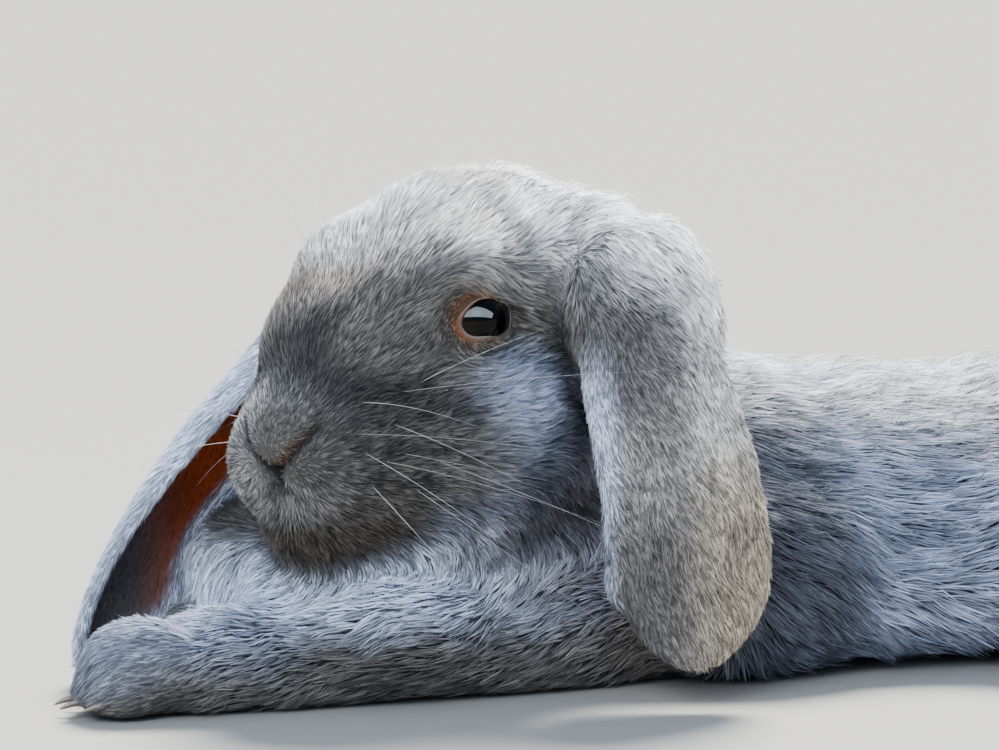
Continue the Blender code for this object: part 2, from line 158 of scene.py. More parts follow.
@dataclass
class Surface:
    """A mesh as arrays: points in metres, and faces of three or four corners."""

    points: np.ndarray
    faces: np.ndarray
    edges: np.ndarray | None = None
    normals: np.ndarray = field(init=False)

    def __post_init__(self) -> None:
        """Works out the normals and, where they are not given, the edges."""
        self.normals = self.point_normals(self.points)
        if self.edges is None:
            width, count = self.faces.shape[1], len(self.points)
            pairs = np.concatenate([self.faces[:, [k, (k + 1) % width]] for k in range(width)])
            pairs = np.sort(pairs, axis=1)
            codes = np.unique(pairs[:, 0] * count + pairs[:, 1])
            self.edges = np.stack([codes // count, codes % count], axis=1)

    @classmethod
    def of(cls, thing: bpy.types.Object) -> "Surface":
        """Reads an object's mesh as triangles."""
        mesh = thing.data
        points = np.empty(len(mesh.vertices) * 3)
        mesh.vertices.foreach_get("co", points)
        mesh.calc_loop_triangles()
        corners = np.empty(len(mesh.loop_triangles) * 3, np.int64)
        mesh.loop_triangles.foreach_get("vertices", corners)
        return cls(points.reshape(-1, 3), corners.reshape(-1, 3))

    def point_normals(self, points: np.ndarray) -> np.ndarray:
        """Normals at points: the sum of the area vectors of the faces round each, made unit."""
        corners = points[self.faces]
        if self.faces.shape[1] == 3:
            area = np.cross(corners[:, 1] - corners[:, 0], corners[:, 2] - corners[:, 0])
        else:
            area = np.cross(corners[:, 2] - corners[:, 0], corners[:, 3] - corners[:, 1])
        spread = np.repeat(area, self.faces.shape[1], axis=0)
        where = self.faces.ravel()
        return unit(
            np.stack([np.bincount(where, spread[:, k], len(points)) for k in range(3)], axis=1)
        )

    def relaxed(self, values: np.ndarray, rounds: int, share: float = 0.5) -> np.ndarray:
        """Evens out values over the mesh: each moves part of the way to its neighbours' mean.

        Args:
            values: one row a point.
            rounds: how many times.
            share: how far towards the mean.

        Returns:
            The evened rows.
        """
        first, second = self.edges.T
        count = np.bincount(self.edges.ravel(), minlength=len(self.points))[:, None]
        count = np.maximum(count, 1)
        for _ in range(rounds):
            total = np.stack(
                [
                    np.bincount(first, values[second, k], len(values))
                    + np.bincount(second, values[first, k], len(values))
                    for k in range(values.shape[1])
                ],
                axis=1,
            )
            values = values + share * (total / count - values)
        return values

    def triangles(self) -> np.ndarray:
        """The faces as triangles."""
        if self.faces.shape[1] == 3:
            return self.faces
        return np.concatenate([self.faces[:, [0, 1, 2]], self.faces[:, [0, 2, 3]]])


def new_piece(name: str, points: np.ndarray, faces: np.ndarray) -> bpy.types.Object:
    """Makes an object at the origin from arrays of points and of faces with one corner count.

    Args:
        name: the piece's name.
        points: places in metres, one a row.
        faces: corner numbers, one face a row.

    Returns:
        The linked object, shaded smooth.
    """
    mesh = bpy.data.meshes.new(name)
    mesh.vertices.add(len(points))
    mesh.vertices.foreach_set("co", points.astype(np.float32).ravel())
    mesh.loops.add(faces.size)
    mesh.loops.foreach_set("vertex_index", faces.astype(np.int32).ravel())
    mesh.polygons.add(len(faces))
    starts = np.arange(0, faces.size, faces.shape[1], dtype=np.int32)
    mesh.polygons.foreach_set("loop_start", starts)
    mesh.polygons.foreach_set("use_smooth", np.ones(len(faces), bool))
    mesh.update(calc_edges=True)
    mesh.validate()
    thing = bpy.data.objects.new(name, mesh)
    bpy.context.scene.collection.objects.link(thing)
    return thing


def baked(thing: bpy.types.Object) -> bpy.types.Object:
    """Applies an object's modifiers to its mesh."""
    graph = bpy.context.evaluated_depsgraph_get()
    mesh = bpy.data.meshes.new_from_object(thing.evaluated_get(graph), depsgraph=graph)
    thing.modifiers.clear()
    thing.data = mesh
    return thing


def fused(thing: bpy.types.Object, voxel: float, rounds: int) -> bpy.types.Object:
    """Fuses overlapping shells into one even surface of small squares, and softens it.

    Args:
        thing: the object, changed in place.
        voxel: the squares' size in metres.
        rounds: how many times it is softened.

    Returns:
        The same object.
    """
    remesh = thing.modifiers.new("fuse", "REMESH")
    remesh.mode = "VOXEL"
    remesh.voxel_size = voxel
    soften = thing.modifiers.new("soften", "SMOOTH")
    soften.factor = 0.5
    soften.iterations = rounds
    return baked(thing)


def discard(*things: bpy.types.Object) -> None:
    """Removes working objects."""
    for thing in things:
        bpy.data.objects.remove(thing)


def shells(name: str, surfaces: list[Surface]) -> bpy.types.Object:
    """Puts several triangle surfaces into one object."""
    start = np.cumsum([0] + [len(surface.points) for surface in surfaces[:-1]])
    points = np.concatenate([surface.points for surface in surfaces])
    faces = np.concatenate([s.triangles() + offset for s, offset in zip(surfaces, start)])
    return new_piece(name, points, faces)


def frame_surface(node: str) -> Surface:
    """A frame node's own surface with its loose triangles merged, as a copy."""
    shape = bmesh.new()
    shape.from_mesh(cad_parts[node].data)
    bmesh.ops.remove_doubles(shape, verts=shape.verts[:], dist=0.002 * MM)
    mesh = bpy.data.meshes.new(f"{node}_copy")
    shape.to_mesh(mesh)
    shape.free()
    thing = bpy.data.objects.new(f"{node}_copy", mesh)
    surface = Surface.of(thing)
    discard(thing)
    return surface


# ---------------------------------------------------------------- the head's own measure


@dataclass(frozen=True)
class HeadPlace:
    """The head's own measure: x back from the nose tip, y to the animal's right, z up from it."""

    nose_tip: Place = (-0.16272, -0.05653, 0.071)
    turn: float = math.radians(25)

    def axes(self) -> np.ndarray:
        """The head's three directions, one a row."""
        c, s = math.cos(self.turn), math.sin(self.turn)
        return np.array([[c, s, 0.0], [-s, c, 0.0], [0.0, 0.0, 1.0]])

    def inward(self, points: np.ndarray) -> np.ndarray:
        """Frame places as head places, in millimetres."""
        return (points - np.array(self.nose_tip)) @ self.axes().T / MM

    def outward(self, points: np.ndarray) -> np.ndarray:
        """Head places in millimetres as frame places."""
        return np.array(points) * MM @ self.axes() + np.array(self.nose_tip)

    def heading(self, vectors: np.ndarray) -> np.ndarray:
        """Head directions as frame directions."""
        return np.array(vectors) @ self.axes()


HEAD = HeadPlace()


# ---------------------------------------------------------------- zones of the coat


@dataclass(frozen=True)
class Lie:
    """How hair lies in a zone: away from a point, or along a direction, always within the surface."""

    away_from: Place | None = None
    along: Place = (0.0, 0.0, 0.0)

    def over(self, points: np.ndarray) -> np.ndarray:
        """The wanted direction at each point: the unit vector from the point, plus the direction."""
        wanted = np.tile(np.array(self.along), (len(points), 1))
        if self.away_from is not None:
            wanted = wanted + unit(points - np.array(self.away_from) * MM)
        return wanted


@dataclass(frozen=True)
class Stroke:
    """A place where hair is combed another way: centre, reach (frame millimetres) and direction."""

    centre: Place
    reach: float
    along: Place

    def over(self, points: np.ndarray) -> np.ndarray:
        """The stroke's share at each point: 1 at its centre, none at its reach."""
        away = np.linalg.norm(points / MM - np.array(self.centre), axis=1)
        return smoothstep(self.reach, 0.4 * self.reach, away)[:, None]


STROKES = (
    Stroke((-76, -62, 108), 20, (0.5, -0.5, -0.75)),
    Stroke((-76, -76, 94), 15, (0.22, -0.15, -1.0)),
    Stroke((-108, 24, 108), 20, (0.15, 0.45, -1.0)),
)


@dataclass(frozen=True)
class Zone:
    """One zone of the coat: its nodes, how the hair lies, and the size of its tufts.

    Depth, length, width and the sizes of clumps and locks are in millimetres, and closeness counts
    the tufts on a square millimetre. A curved tuft has a middle, and speckle tells how much the
    locks differ in tone.
    """

    name: str
    nodes: tuple[str, ...]
    lie: Lie
    depth: float
    length: float
    width: float
    closeness: float
    clump: float
    lock: float
    curved: bool = True
    speckle: float = 1.0


def both(part: str) -> tuple[str, str]:
    """The two nodes of a part that is on the left and on the right."""
    return f"{part}_left", f"{part}_right"


HEAD_LIE = Lie(away_from=tuple(HEAD.outward((-16, 0, -8)) / MM))
BACK_LIE = Lie(along=(1.0, 0.0, -0.30))


class Region(Enum):
    """The zones by name."""

    MUZZLE = Zone("muzzle", ("head",), HEAD_LIE, 1.2, 3.8, 0.32, 5.0, 1.7, 0.75, False, 2.0)
    FACE = Zone("face", ("head",), HEAD_LIE, 2.0, 6.2, 0.38, 4.8, 2.6, 0.95, False, 1.3)
    CROWN = Zone("crown", ("head",), HEAD_LIE, 3.4, 9.0, 0.44, 2.35, 3.2, 1.2)
    NECK = Zone("neck", ("neck",), Lie(along=(0.55, 0.0, -0.8)), 3.6, 9.5, 0.44, 2.5, 4.0, 1.5)
    EAR_LEFT = Zone(
        "ear_left", ("ear_left",), Lie((-76, -30, 118)), 0.9, 3.7, 0.29, 5.2, 2.2, 0.8, False, 1.9
    )
    EAR_RIGHT = Zone(
        "ear_right", ("ear_right",), Lie((-88, 10, 122)), 0.9, 4.2, 0.36, 2.7, 2.4, 0.9, False, 1.4
    )
    EAR_BENDS = Zone("ear_bends", (), Lie(away_from=(-110, -8, 150)), 2.8, 7.5, 0.40, 3.0, 3.0, 1.1)
    SHOULDER = Zone("shoulder", ("trunk",), Lie(along=(1.0, 0.0, -0.75)), 5.5, 15.0, 0.54, 1.3, 6.0, 2.0)
    LOIN = Zone("loin", ("trunk",), BACK_LIE, 5.5, 16.0, 0.60, 1.0, 6.0, 2.3)
    RUMP = Zone("rump", ("trunk",), Lie(along=(1.0, 0.0, -0.5)), 5.5, 16.0, 0.62, 0.9, 6.0, 2.5)
    TAIL = Zone("tail", ("tail",), Lie(along=(0.25, 0.0, 1.0)), 4.0, 14.0, 0.55, 1.3, 5.0, 2.0)
    FORELEGS = Zone(
        "forelegs", both("foreleg"), Lie(along=(-1.0, 0.0, -0.25)), 3.6, 10.0, 0.46, 1.3, 4.0, 1.6
    )
    FOREPAWS = Zone(
        "forepaws", both("forepaw"), Lie(along=(-1.0, 0.0, -0.3)), 1.2, 4.8, 0.36, 2.7, 2.2, 1.0, False
    )
    HINDLEGS = Zone(
        "hindlegs", both("hindleg"), Lie(along=(0.85, 0.0, -0.6)), 5.0, 15.0, 0.60, 0.72, 6.0, 2.4
    )
    HINDFEET = Zone(
        "hindfeet", both("hindfoot"), Lie(along=(-1.0, 0.0, -0.2)), 1.3, 5.5, 0.42, 1.7, 2.4, 1.1, False
    )


REGIONS = tuple(Region)
EYES = both("eye")
FLESH = tuple(dict.fromkeys(node for region in REGIONS for node in region.value.nodes))


# ---------------------------------------------------------------- the eyes' places


@dataclass(frozen=True)
class EyePlace:
    """An eye's place on the head, its size, and the way that it looks."""

    side: str
    outwards: float
    middle: Place = (53.4, 23.6, 29.3)
    size: float = 9.3
    looks: Place = (-0.28, 0.94, 0.17)

    @property
    def centre(self) -> np.ndarray:
        """The middle of the eyeball."""
        x, y, z = self.middle
        return HEAD.outward((x, y * self.outwards, z))

    @property
    def radius(self) -> float:
        """The eyeball's radius in metres."""
        return self.size * MM

    @property
    def axes(self) -> np.ndarray:
        """Forwards, upwards and outwards along the gaze, one a row."""
        x, y, z = self.looks
        gaze = unit(HEAD.heading((x, y * self.outwards, z)))
        ahead = unit(np.cross(np.array([0, 0, 1.0]), gaze) * self.outwards)
        return np.stack([ahead, unit(np.cross(gaze, ahead) * self.outwards), gaze])

    def local(self, points: np.ndarray) -> np.ndarray:
        """Places seen from the eye's centre along its axes, in metres."""
        return (points - self.centre) @ self.axes.T


@dataclass(frozen=True)
class Opening:
    """The opening between the lids, by its half-widths (mm, on the eyeball) at even turns.

    The turns start forwards and run upwards, so the corner of the tear duct lies before the first.
    """

    reaches: tuple[float, ...] = (
        *(8.0, 7.1, 6.2, 5.6, 5.4, 5.8, 7.1, 8.9),
        *(9.0, 8.1, 6.7, 5.6, 5.1, 5.6, 7.1, 8.8),
    )
    waves: int = 5

    def rim(self, turn: np.ndarray) -> np.ndarray:
        """The rim's distance from the middle at each turn, along the eyeball, in metres.

        The half-widths are joined by the first waves of their Fourier series.

        Args:
            turn: angles round the gaze, from forwards and upwards.

        Returns:
            One distance a turn.
        """
        count = len(self.reaches)
        lobes = np.fft.rfft(self.reaches) / count
        fine = np.full(turn.shape, lobes[0].real)
        for order in range(1, self.waves + 1):
            wave = lobes[order] * np.exp(1j * order * turn)
            fine = fine + 2 * wave.real
        return fine * MM

    def beyond(self, place: EyePlace, points: np.ndarray) -> np.ndarray:
        """How far each point lies outside the rim: along the eyeball, then away from it.

        Args:
            place: the eye.
            points: places in metres.

        Returns:
            Metres, below zero inside the rim.
        """
        local = place.local(points)
        reach = np.linalg.norm(local, axis=1)
        angle = np.arccos(np.clip(local[:, 2] / reach, -1, 1))
        turn = np.arctan2(local[:, 1], local[:, 0])
        return angle * place.radius - self.rim(turn) + np.maximum(reach - 1.4 * place.radius, 0)

    def bare_width(self, turn: np.ndarray) -> np.ndarray:
        """How much of the lid is bare of hair at each turn: most in front, least behind, in metres."""
        return (0.35 + 0.85 * smoothstep(-0.2, 0.9, np.cos(turn - 0.35))) * MM

    def in_hair(self, place: EyePlace, points: np.ndarray) -> np.ndarray:
        """How far each point lies outside the bare lid.

        Args:
            place: the eye.
            points: places in metres.

        Returns:
            Metres, below zero where the lid is bare.
        """
        local = place.local(points)
        return self.beyond(place, points) - self.bare_width(np.arctan2(local[:, 1], local[:, 0]))


OPENING = Opening()
EYE_PLACES = (EyePlace("left", -1.0), EyePlace("right", 1.0))


def beyond_lids(points: np.ndarray) -> np.ndarray:
    """How far each point lies outside the nearer eye's bare lids, in metres."""
    return np.minimum(*[OPENING.in_hair(place, points) for place in EYE_PLACES])


# ---------------------------------------------------------------- the face's fine forms


@dataclass(frozen=True)
class Swell:
    """A soft rise or hollow: centre and reach in head millimetres, rise along the normals."""

    centre: Place
    reach: float
    rise: float
    pair: bool = True

    def over(self, local: np.ndarray) -> np.ndarray:
        """The rise at each head place: (1 - t^2)^2, t being the distance over the reach.

        Args:
            local: head places in millimetres.

        Returns:
            Millimetres.
        """
        x, y, z = self.centre
        total = np.zeros(len(local))
        for side in (1.0, -1.0) if self.pair else (1.0,):
            t = np.linalg.norm(local - np.array((x, y * side, z)), axis=1) / self.reach
            total += self.rise * np.clip(1 - t * t, 0, 1) ** 2
        return total


def from_line(points: np.ndarray, start: np.ndarray, end: np.ndarray) -> np.ndarray:
    """Each point's distance from the line between two places.

    Args:
        points: places, one a row.
        start: one end of the line.
        end: its other end.

    Returns:
        One distance a point.
    """
    run = end - start
    share = np.clip((points - start) @ run / (run @ run), 0, 1)
    return np.linalg.norm(points - start - share[:, None] * run, axis=1)


# How far the nose stands to the left of the head's middle, in millimetres.
NOSE_SET = 2.6


class Seen(Enum):
    """The plane in which a groove is laid out: the two head directions that count."""

    FRONT = (1, 2)
    SIDE = (0, 2)


@dataclass(frozen=True)
class Groove:
    """A furrow along a path seen from the front or the side, in head millimetres."""

    path: tuple[tuple[float, float], ...]
    width: float
    depth: float
    seen: Seen = Seen.FRONT

    def nearness(self, local: np.ndarray) -> np.ndarray:
        """1 on the path, falling as exp(-(distance / width)^2), fading at its ends.

        A path seen from the front lies on both sides of the nose, which stands a little to the left.

        Args:
            local: head places in millimetres.

        Returns:
            One share a place.
        """
        flat = local[:, self.seen.value]
        beside = np.abs(local[:, 1])
        if self.seen is Seen.FRONT:
            flat = np.stack([np.abs(flat[:, 0] + NOSE_SET), flat[:, 1]], axis=1)
            fade = smoothstep(30, 20, local[:, 0])
        else:
            fade = smoothstep(8, 16, beside) * smoothstep(44, 38, beside)
        best = np.full(len(local), np.inf)
        for start, end in zip(self.path[:-1], self.path[1:]):
            best = np.minimum(best, from_line(flat, np.array(start), np.array(end)))
        return np.exp(-((best / self.width) ** 2)) * fade


FACE_SWELLS = (
    Swell((6, 15, -4), 23, 3.4),
    Swell((0, 0, 2), 17, 2.2, pair=False),
    Swell((16, 0, -26), 16, 1.6, pair=False),
    Swell((38, 19, 50), 25, 3.6),
    Swell((74, 0, 66), 34, 2.2, pair=False),
    Swell((58, 9, 62), 27, 3.6),
    Swell((48, 26, 46), 17, 2.0),
    Swell((58, 34, 8), 18, 1.8),
    Swell((38, 27, 26), 12, -1.2),
    Swell((32, 30, -42), 26, 5.0, pair=False),
)
NOSTRIL = Groove(((0, -8.5), (5, -4.6), (9.0, 0.0), (11.5, 3.8)), 1.4, 2.6)
PHILTRUM = Groove(((0, -8.0), (0, -11.0)), 2.0, 1.8)
MOUTH = Groove(((0, -11.5), (4, -13.0), (7, -14.5)), 1.1, 0.8)
LIP = Groove(((8, -15.5), (13, -19.5), (18, -24.0), (21, -27.0)), 2.6, 0.8)
FOLD = Groove(((69, 45), (72, 37), (74, 28), (77, 19), (80, 9), (83, -3)), 4.0, 3.0, Seen.SIDE)
GROOVES = (NOSTRIL, PHILTRUM, MOUTH, LIP, FOLD)


# ---------------------------------------------------------------- skin


DepthRule = Callable[[np.ndarray, np.ndarray], np.ndarray]


@dataclass
class Skin:
    """The rabbit's skin: the frame's outline drawn in by the coat's depth, in one surface."""

    outline_voxel: float = 1.6 * MM
    ear_voxel: float = 1.0 * MM
    skin_voxel: float = 1.87 * MM
    overlap: float = 0.25 * MM
    blend_rounds: int = 40
    ear_roots: tuple[tuple[float, ...], ...] = (
        (-67.0, -61.0, 111.0, 14.0, 16.0, 15.0),
        (-74.0, -58.0, 104.0, 10.0, 12.0, 19.0),
        (-71.0, -62.0, 92.0, 9.0, 8.0, 17.0),
        (-75.0, -66.0, 108.0, 8.0, 7.0, 8.0),
        (-76.5, -72.0, 101.0, 6.5, 6.5, 12.0),
        (-77.5, -76.5, 91.0, 5.5, 6.0, 14.0),
        (-78.0, -79.0, 80.0, 4.8, 5.2, 14.0),
        (-77.0, -80.5, 70.0, 4.5, 5.0, 16.0),
        (-76.0, -81.0, 55.0, 3.8, 4.5, 16.0),
        (-75.0, -81.5, 42.0, 3.2, 4.0, 16.0),
        (-104.0, 15.0, 106.0, 15.0, 11.0, 9.0),
        (-108.0, 17.0, 108.5, 14.0, 12.0, 9.0),
        (-113.0, 20.0, 100.0, 9.0, 7.0, 12.0),
        (-153.0, -4.0, 21.0, 12.0, 13.0, 14.0),
        (-163.0, -6.0, 13.0, 10.0, 12.0, 9.0),
    )
    levelled: tuple[tuple[float, ...], ...] = (
        (-72, -54, 108, 24, 14),
        (-107, 16, 110, 24, 14),
        (-77, -73, 104, 19, 30),
        *((-78, -80, height, 13, 12) for height in (94, 82, 70, 58, 46)),
    )
    surface: Surface = field(init=False)
    thing: bpy.types.Object = field(init=False)
    zone_of: np.ndarray = field(init=False)
    weights: np.ndarray = field(init=False)
    inner_ear: np.ndarray = field(init=False)
    normals: np.ndarray = field(init=False)
    lie: np.ndarray = field(init=False)
    bend: np.ndarray = field(init=False)
    tones: np.ndarray = field(init=False)

    def drawn_in(self, thing: bpy.types.Object, depth: DepthRule) -> Surface:
        """Moves a surface inwards along its evened normals by a depth that changes over it.

        Args:
            thing: the outline object.
            depth: gives metres for points and normals.

        Returns:
            The inner surface.
        """
        outline = Surface.of(thing)
        normals = unit(outline.relaxed(outline.normals, 4))
        inset = outline.relaxed(depth(outline.points, normals)[:, None], self.blend_rounds)
        inner = outline.points - normals * inset * self.floor_ease(outline.points, normals)[:, None]
        return Surface(outline.relaxed(inner, 2), outline.faces, outline.edges)

    @staticmethod
    def floor_ease(points: np.ndarray, normals: np.ndarray) -> np.ndarray:
        """How far the coat is pressed flat: 1 in the open, small where the body lies on the floor.

        Args:
            points: places in metres.
            normals: the surface's normals there.

        Returns:
            One share a point.
        """
        under = np.clip(-normals[:, 2], 0.0, 1.0)
        low = 1.0 - smoothstep(2 * MM, 16 * MM, points[:, 2])
        return 1.0 - 0.88 * under * low

    def body_depth(self, points: np.ndarray, normals: np.ndarray) -> np.ndarray:
        """The coat's depth over head, trunk and legs: its zone's, thinner near the ears' roots.

        Args:
            points: places in metres.
            normals: the surface's normals there; not used.

        Returns:
            Metres, one a point.
        """
        labels = nearest_nodes(points, [node for node in FLESH if not node.startswith("ear")] + list(EYES))
        local = HEAD.inward(points)
        depth = np.zeros(len(points))
        for region in REGIONS:
            zone = region.value
            for node in zone.nodes:
                depth[labels == node] = zone.depth
        face = np.interp(local[:, 0], (0, 20, 60, 90, 110), (1.5, 1.7, 2.6, 4.5, 5.5))
        on_head = (labels == "head") | np.isin(labels, EYES)
        depth[on_head] = face[on_head]
        ears = [np.linalg.norm(points - np.array(root[:3]) * MM, axis=1) for root in self.ear_roots]
        ears = np.min(ears, axis=0)
        return np.minimum(depth, 1.8 + ears / (8 * MM)) * MM

    def ear_depth(self, points: np.ndarray, normals: np.ndarray) -> np.ndarray:
        """The coat's depth over an ear, in metres."""
        return np.full(len(points), 0.55 * MM)

    def build(self) -> None:
        """Fuses body and ears, draws them in, and joins them into one surface."""
        parts = [frame_surface(node) for node in (*FLESH, *EYES) if not node.startswith("ear")]
        grown = [Surface(part.points + part.normals * self.overlap, part.faces) for part in parts]
        body = fused(shells("body_outline", grown), self.outline_voxel, 5)
        inner = [self.drawn_in(body, self.body_depth)]
        discard(body)
        for node in ("ear_left", "ear_right"):
            ear = fused(shells(f"{node}_outline", [frame_surface(node)]), self.ear_voxel, 3)
            inner.append(self.drawn_in(ear, self.ear_depth))
            discard(ear)
        for x, y, z, *radii in self.ear_roots:
            inner.append(ball(np.array((x, y, z)) * MM, np.array(radii) * MM))
        self.thing = fused(shells("skin", inner), self.skin_voxel, 3)
        self.refine()
        self.form_face()
        self.map_zones()
        self.comb()
        self.tones = MARKINGS.tones(self.surface.points, self.normals, self.weights, self.inner_ear)
        LOG.info("skin: %d triangles", len(self.surface.faces))

    def refine(self) -> None:
        """Divides the mesh twice round the eyes, the nose and the mouth, and softens the new places."""
        nose = HEAD.outward((6, 0, -8))
        for _ in range(2):
            shape = bmesh.new()
            shape.from_mesh(self.thing.data)
            ends = np.empty(len(shape.edges) * 2, np.int64)
            self.thing.data.edges.foreach_get("vertices", ends)
            places = np.empty(len(shape.verts) * 3)
            self.thing.data.vertices.foreach_get("co", places)
            middle = places.reshape(-1, 3)[ends.reshape(-1, 2)].mean(axis=1)
            near = np.linalg.norm(middle - nose, axis=1) < 23 * MM
            for place in EYE_PLACES:
                local = place.local(middle)
                near |= (np.linalg.norm(local, axis=1) < 16 * MM) & (local[:, 2] > -1 * MM)
            shape.edges.ensure_lookup_table()
            chosen = [shape.edges[number] for number in np.flatnonzero(near)]
            bmesh.ops.subdivide_edges(shape, edges=chosen, cuts=1, use_grid_fill=True)
            shape.to_mesh(self.thing.data)
            shape.free()
        self.surface = Surface.of(self.thing)
        self.soften(nose, 30 * MM, 4)
        for place in EYE_PLACES:
            self.soften(place.centre, 20 * MM, 4)

    def reshape(self, points: np.ndarray) -> None:
        """Gives the skin new places for its points."""
        self.thing.data.vertices.foreach_set("co", points.astype(np.float32).ravel())
        self.thing.data.update()
        self.surface = Surface(points, self.surface.faces, self.surface.edges)

    def soften(self, centre: np.ndarray, reach: float, rounds: int) -> None:
        """Evens the skin round a place, fully at its centre and not at all at its reach.

        Args:
            centre: the place in metres.
            reach: how far it works, in metres.
            rounds: how many times it is evened.
        """
        points = self.surface.points
        t = np.linalg.norm(points - centre, axis=1) / reach
        first, second = self.surface.edges[(t[self.surface.edges] < 1.15).any(axis=1)].T
        near, place = np.unique(np.concatenate([first, second]), return_inverse=True)
        local = Surface(points[near], np.zeros((0, 3), int), place.reshape(2, -1).T)
        share = np.clip(1.2 * (1 - t[near, None] ** 2), 0, 1)
        moved = points.copy()
        moved[near] += share * (local.relaxed(local.points, rounds) - local.points)
        self.reshape(moved)

    def form_face(self) -> None:
        """Raises the swells, presses the grooves in, and seats the skin round the eyeballs.

        Under the bare lids the skin runs below the eyeball's surface; 1 mm outside them it lies
        1 mm above it, and eases to its own form 9 mm away.
        """
        surface = self.surface
        local = HEAD.inward(surface.points)
        rise = np.sum([swell.over(local) for swell in FACE_SWELLS], axis=0)
        even = unit(surface.relaxed(surface.normals, 6))
        self.reshape(surface.points + even * (rise * MM)[:, None])
        for brow in ((50, 24, 45), (50, -24, 45)):
            self.soften(HEAD.outward(brow), 26 * MM, 24)
        for x, y, z, reach, rounds in self.levelled:
            self.soften(np.array((x, y, z)) * MM, reach * MM, rounds)
        surface = self.surface
        local = HEAD.inward(surface.points)
        rise = -np.sum([groove.depth * groove.nearness(local) for groove in GROOVES], axis=0)
        even = unit(surface.relaxed(surface.normals, 4))
        points = surface.points + even * (rise * MM)[:, None]
        for place in EYE_PLACES:
            seen = place.local(points)
            reach = np.linalg.norm(seen, axis=1)
            out = OPENING.in_hair(place, points)
            share = smoothstep(9 * MM, 1.4 * MM, out) * (seen[:, 2] > -2 * MM) * (reach < 2 * place.radius)
            wanted = place.radius + 1.0 * MM - 1.9 * MM * smoothstep(0.9 * MM, -0.4 * MM, out)
            moved = reach + share * (wanted - reach)
            points = place.centre + (points - place.centre) * (moved / reach)[:, None]
        self.reshape(points)

    def map_zones(self) -> None:
        """Shares every point out among the zones of the coat, softly across their borders."""
        points = self.surface.points
        labels = nearest_nodes(points, list(FLESH))
        back = HEAD.inward(points)[:, 0]
        self.zone_of = np.zeros(len(points), int)
        for number, region in enumerate(REGIONS):
            self.zone_of[np.isin(labels, region.value.nodes)] = number
        head, trunk = labels == "head", labels == "trunk"
        self.zone_of[head & (back < 38)] = REGIONS.index(Region.MUZZLE)
        self.zone_of[head & (back >= 38)] = REGIONS.index(Region.FACE)
        self.zone_of[head & (back >= 76)] = REGIONS.index(Region.CROWN)
        self.zone_of[trunk] = REGIONS.index(Region.LOIN)
        self.zone_of[trunk & (points[:, 0] < 12 * MM)] = REGIONS.index(Region.SHOULDER)
        self.zone_of[trunk & (points[:, 0] > 100 * MM)] = REGIONS.index(Region.RUMP)
        over = points[:, 2] + 0.22 * points[:, 0] + 0.004 * cloud_noise(points, 6 * MM, 3) > 90 * MM
        ears = np.char.startswith(labels, "ear")
        self.zone_of[ears & over] = REGIONS.index(Region.EAR_BENDS)
        one_hot = np.eye(len(REGIONS))[self.zone_of]
        self.weights = self.surface.relaxed(one_hot, 14)
        inner = np.zeros(len(points))
        for node, way in (("ear_left", 1.0), ("ear_right", -1.0)):
            faces_in = HEAD.axes()[1] @ self.surface.normals.T * way > 0.25
            inner[(labels == node) & faces_in] = 1.0
        self.inner_ear = smoothstep(0.8, 0.97, self.surface.relaxed(inner[:, None], 30)[:, 0])

    def comb(self) -> None:
        """Lays the hair's direction over the skin, and measures how the skin bends along it.

        The direction is each zone's own, blended by the zones' shares, laid into the surface and
        evened. The bend is the turn of the normal towards the direction for each metre along it.
        """
        points, normals = self.surface.points, unit(self.surface.relaxed(self.surface.normals, 3))
        self.normals = normals
        lie = np.zeros_like(points)
        for number, region in enumerate(REGIONS):
            lie += self.weights[:, [number]] * region.value.lie.over(points)
        for stroke in STROKES:
            share = stroke.over(points)
            lie = (1 - share) * lie + share * unit(np.array([stroke.along]))
        for _ in range(6):
            lie = unit(lie - dot(lie, normals) * normals)
            lie = self.parted(self.surface.relaxed(lie, 6))
        self.lie = unit(lie - dot(lie, normals) * normals)
        first, second = self.surface.edges.T
        step, turn = points[second] - points[first], normals[second] - normals[first]
        above, below = np.zeros(len(points)), np.full(len(points), 1e-12)
        for end in (first, second):
            along = np.sum(step * self.lie[end], axis=1)
            above += np.bincount(end, np.sum(turn * self.lie[end], axis=1) * along, len(points))
            below += np.bincount(end, along * along, len(points))
        bend = self.surface.relaxed((above / below)[:, None], 8)[:, 0]
        self.bend = np.clip(bend, -40.0, 60.0)

    def parted(self, lie: np.ndarray) -> np.ndarray:
        """Turns hair that would run over an eye so that it passes round it.

        Args:
            lie: the hair's directions, one a row.

        Returns:
            The turned directions.
        """
        for place in EYE_PLACES:
            away = self.surface.points - place.centre
            outside = OPENING.in_hair(place, self.surface.points)
            seen = place.local(self.surface.points) / place.radius
            brow = smoothstep(0.0, 0.5, seen[:, 1] - 0.5 * seen[:, 0]) * smoothstep(10 * MM, 4 * MM, outside)
            brow *= smoothstep(-0.2, 0.2, seen[:, 2])
            near = smoothstep(8 * MM, 1 * MM, outside) * (1 - 0.9 * brow)
            gaze = place.axes[2]
            away = unit(away - dot(away, gaze[None]) * gaze)
            against = np.minimum(dot(lie, away), 0.15)
            lie = lie - (against - 0.15) * away * near[:, None]
            swept = -place.axes[0] - 0.75 * place.axes[1]
            lie = lie + 0.8 * brow[:, None] * (swept - lie)
        return lie

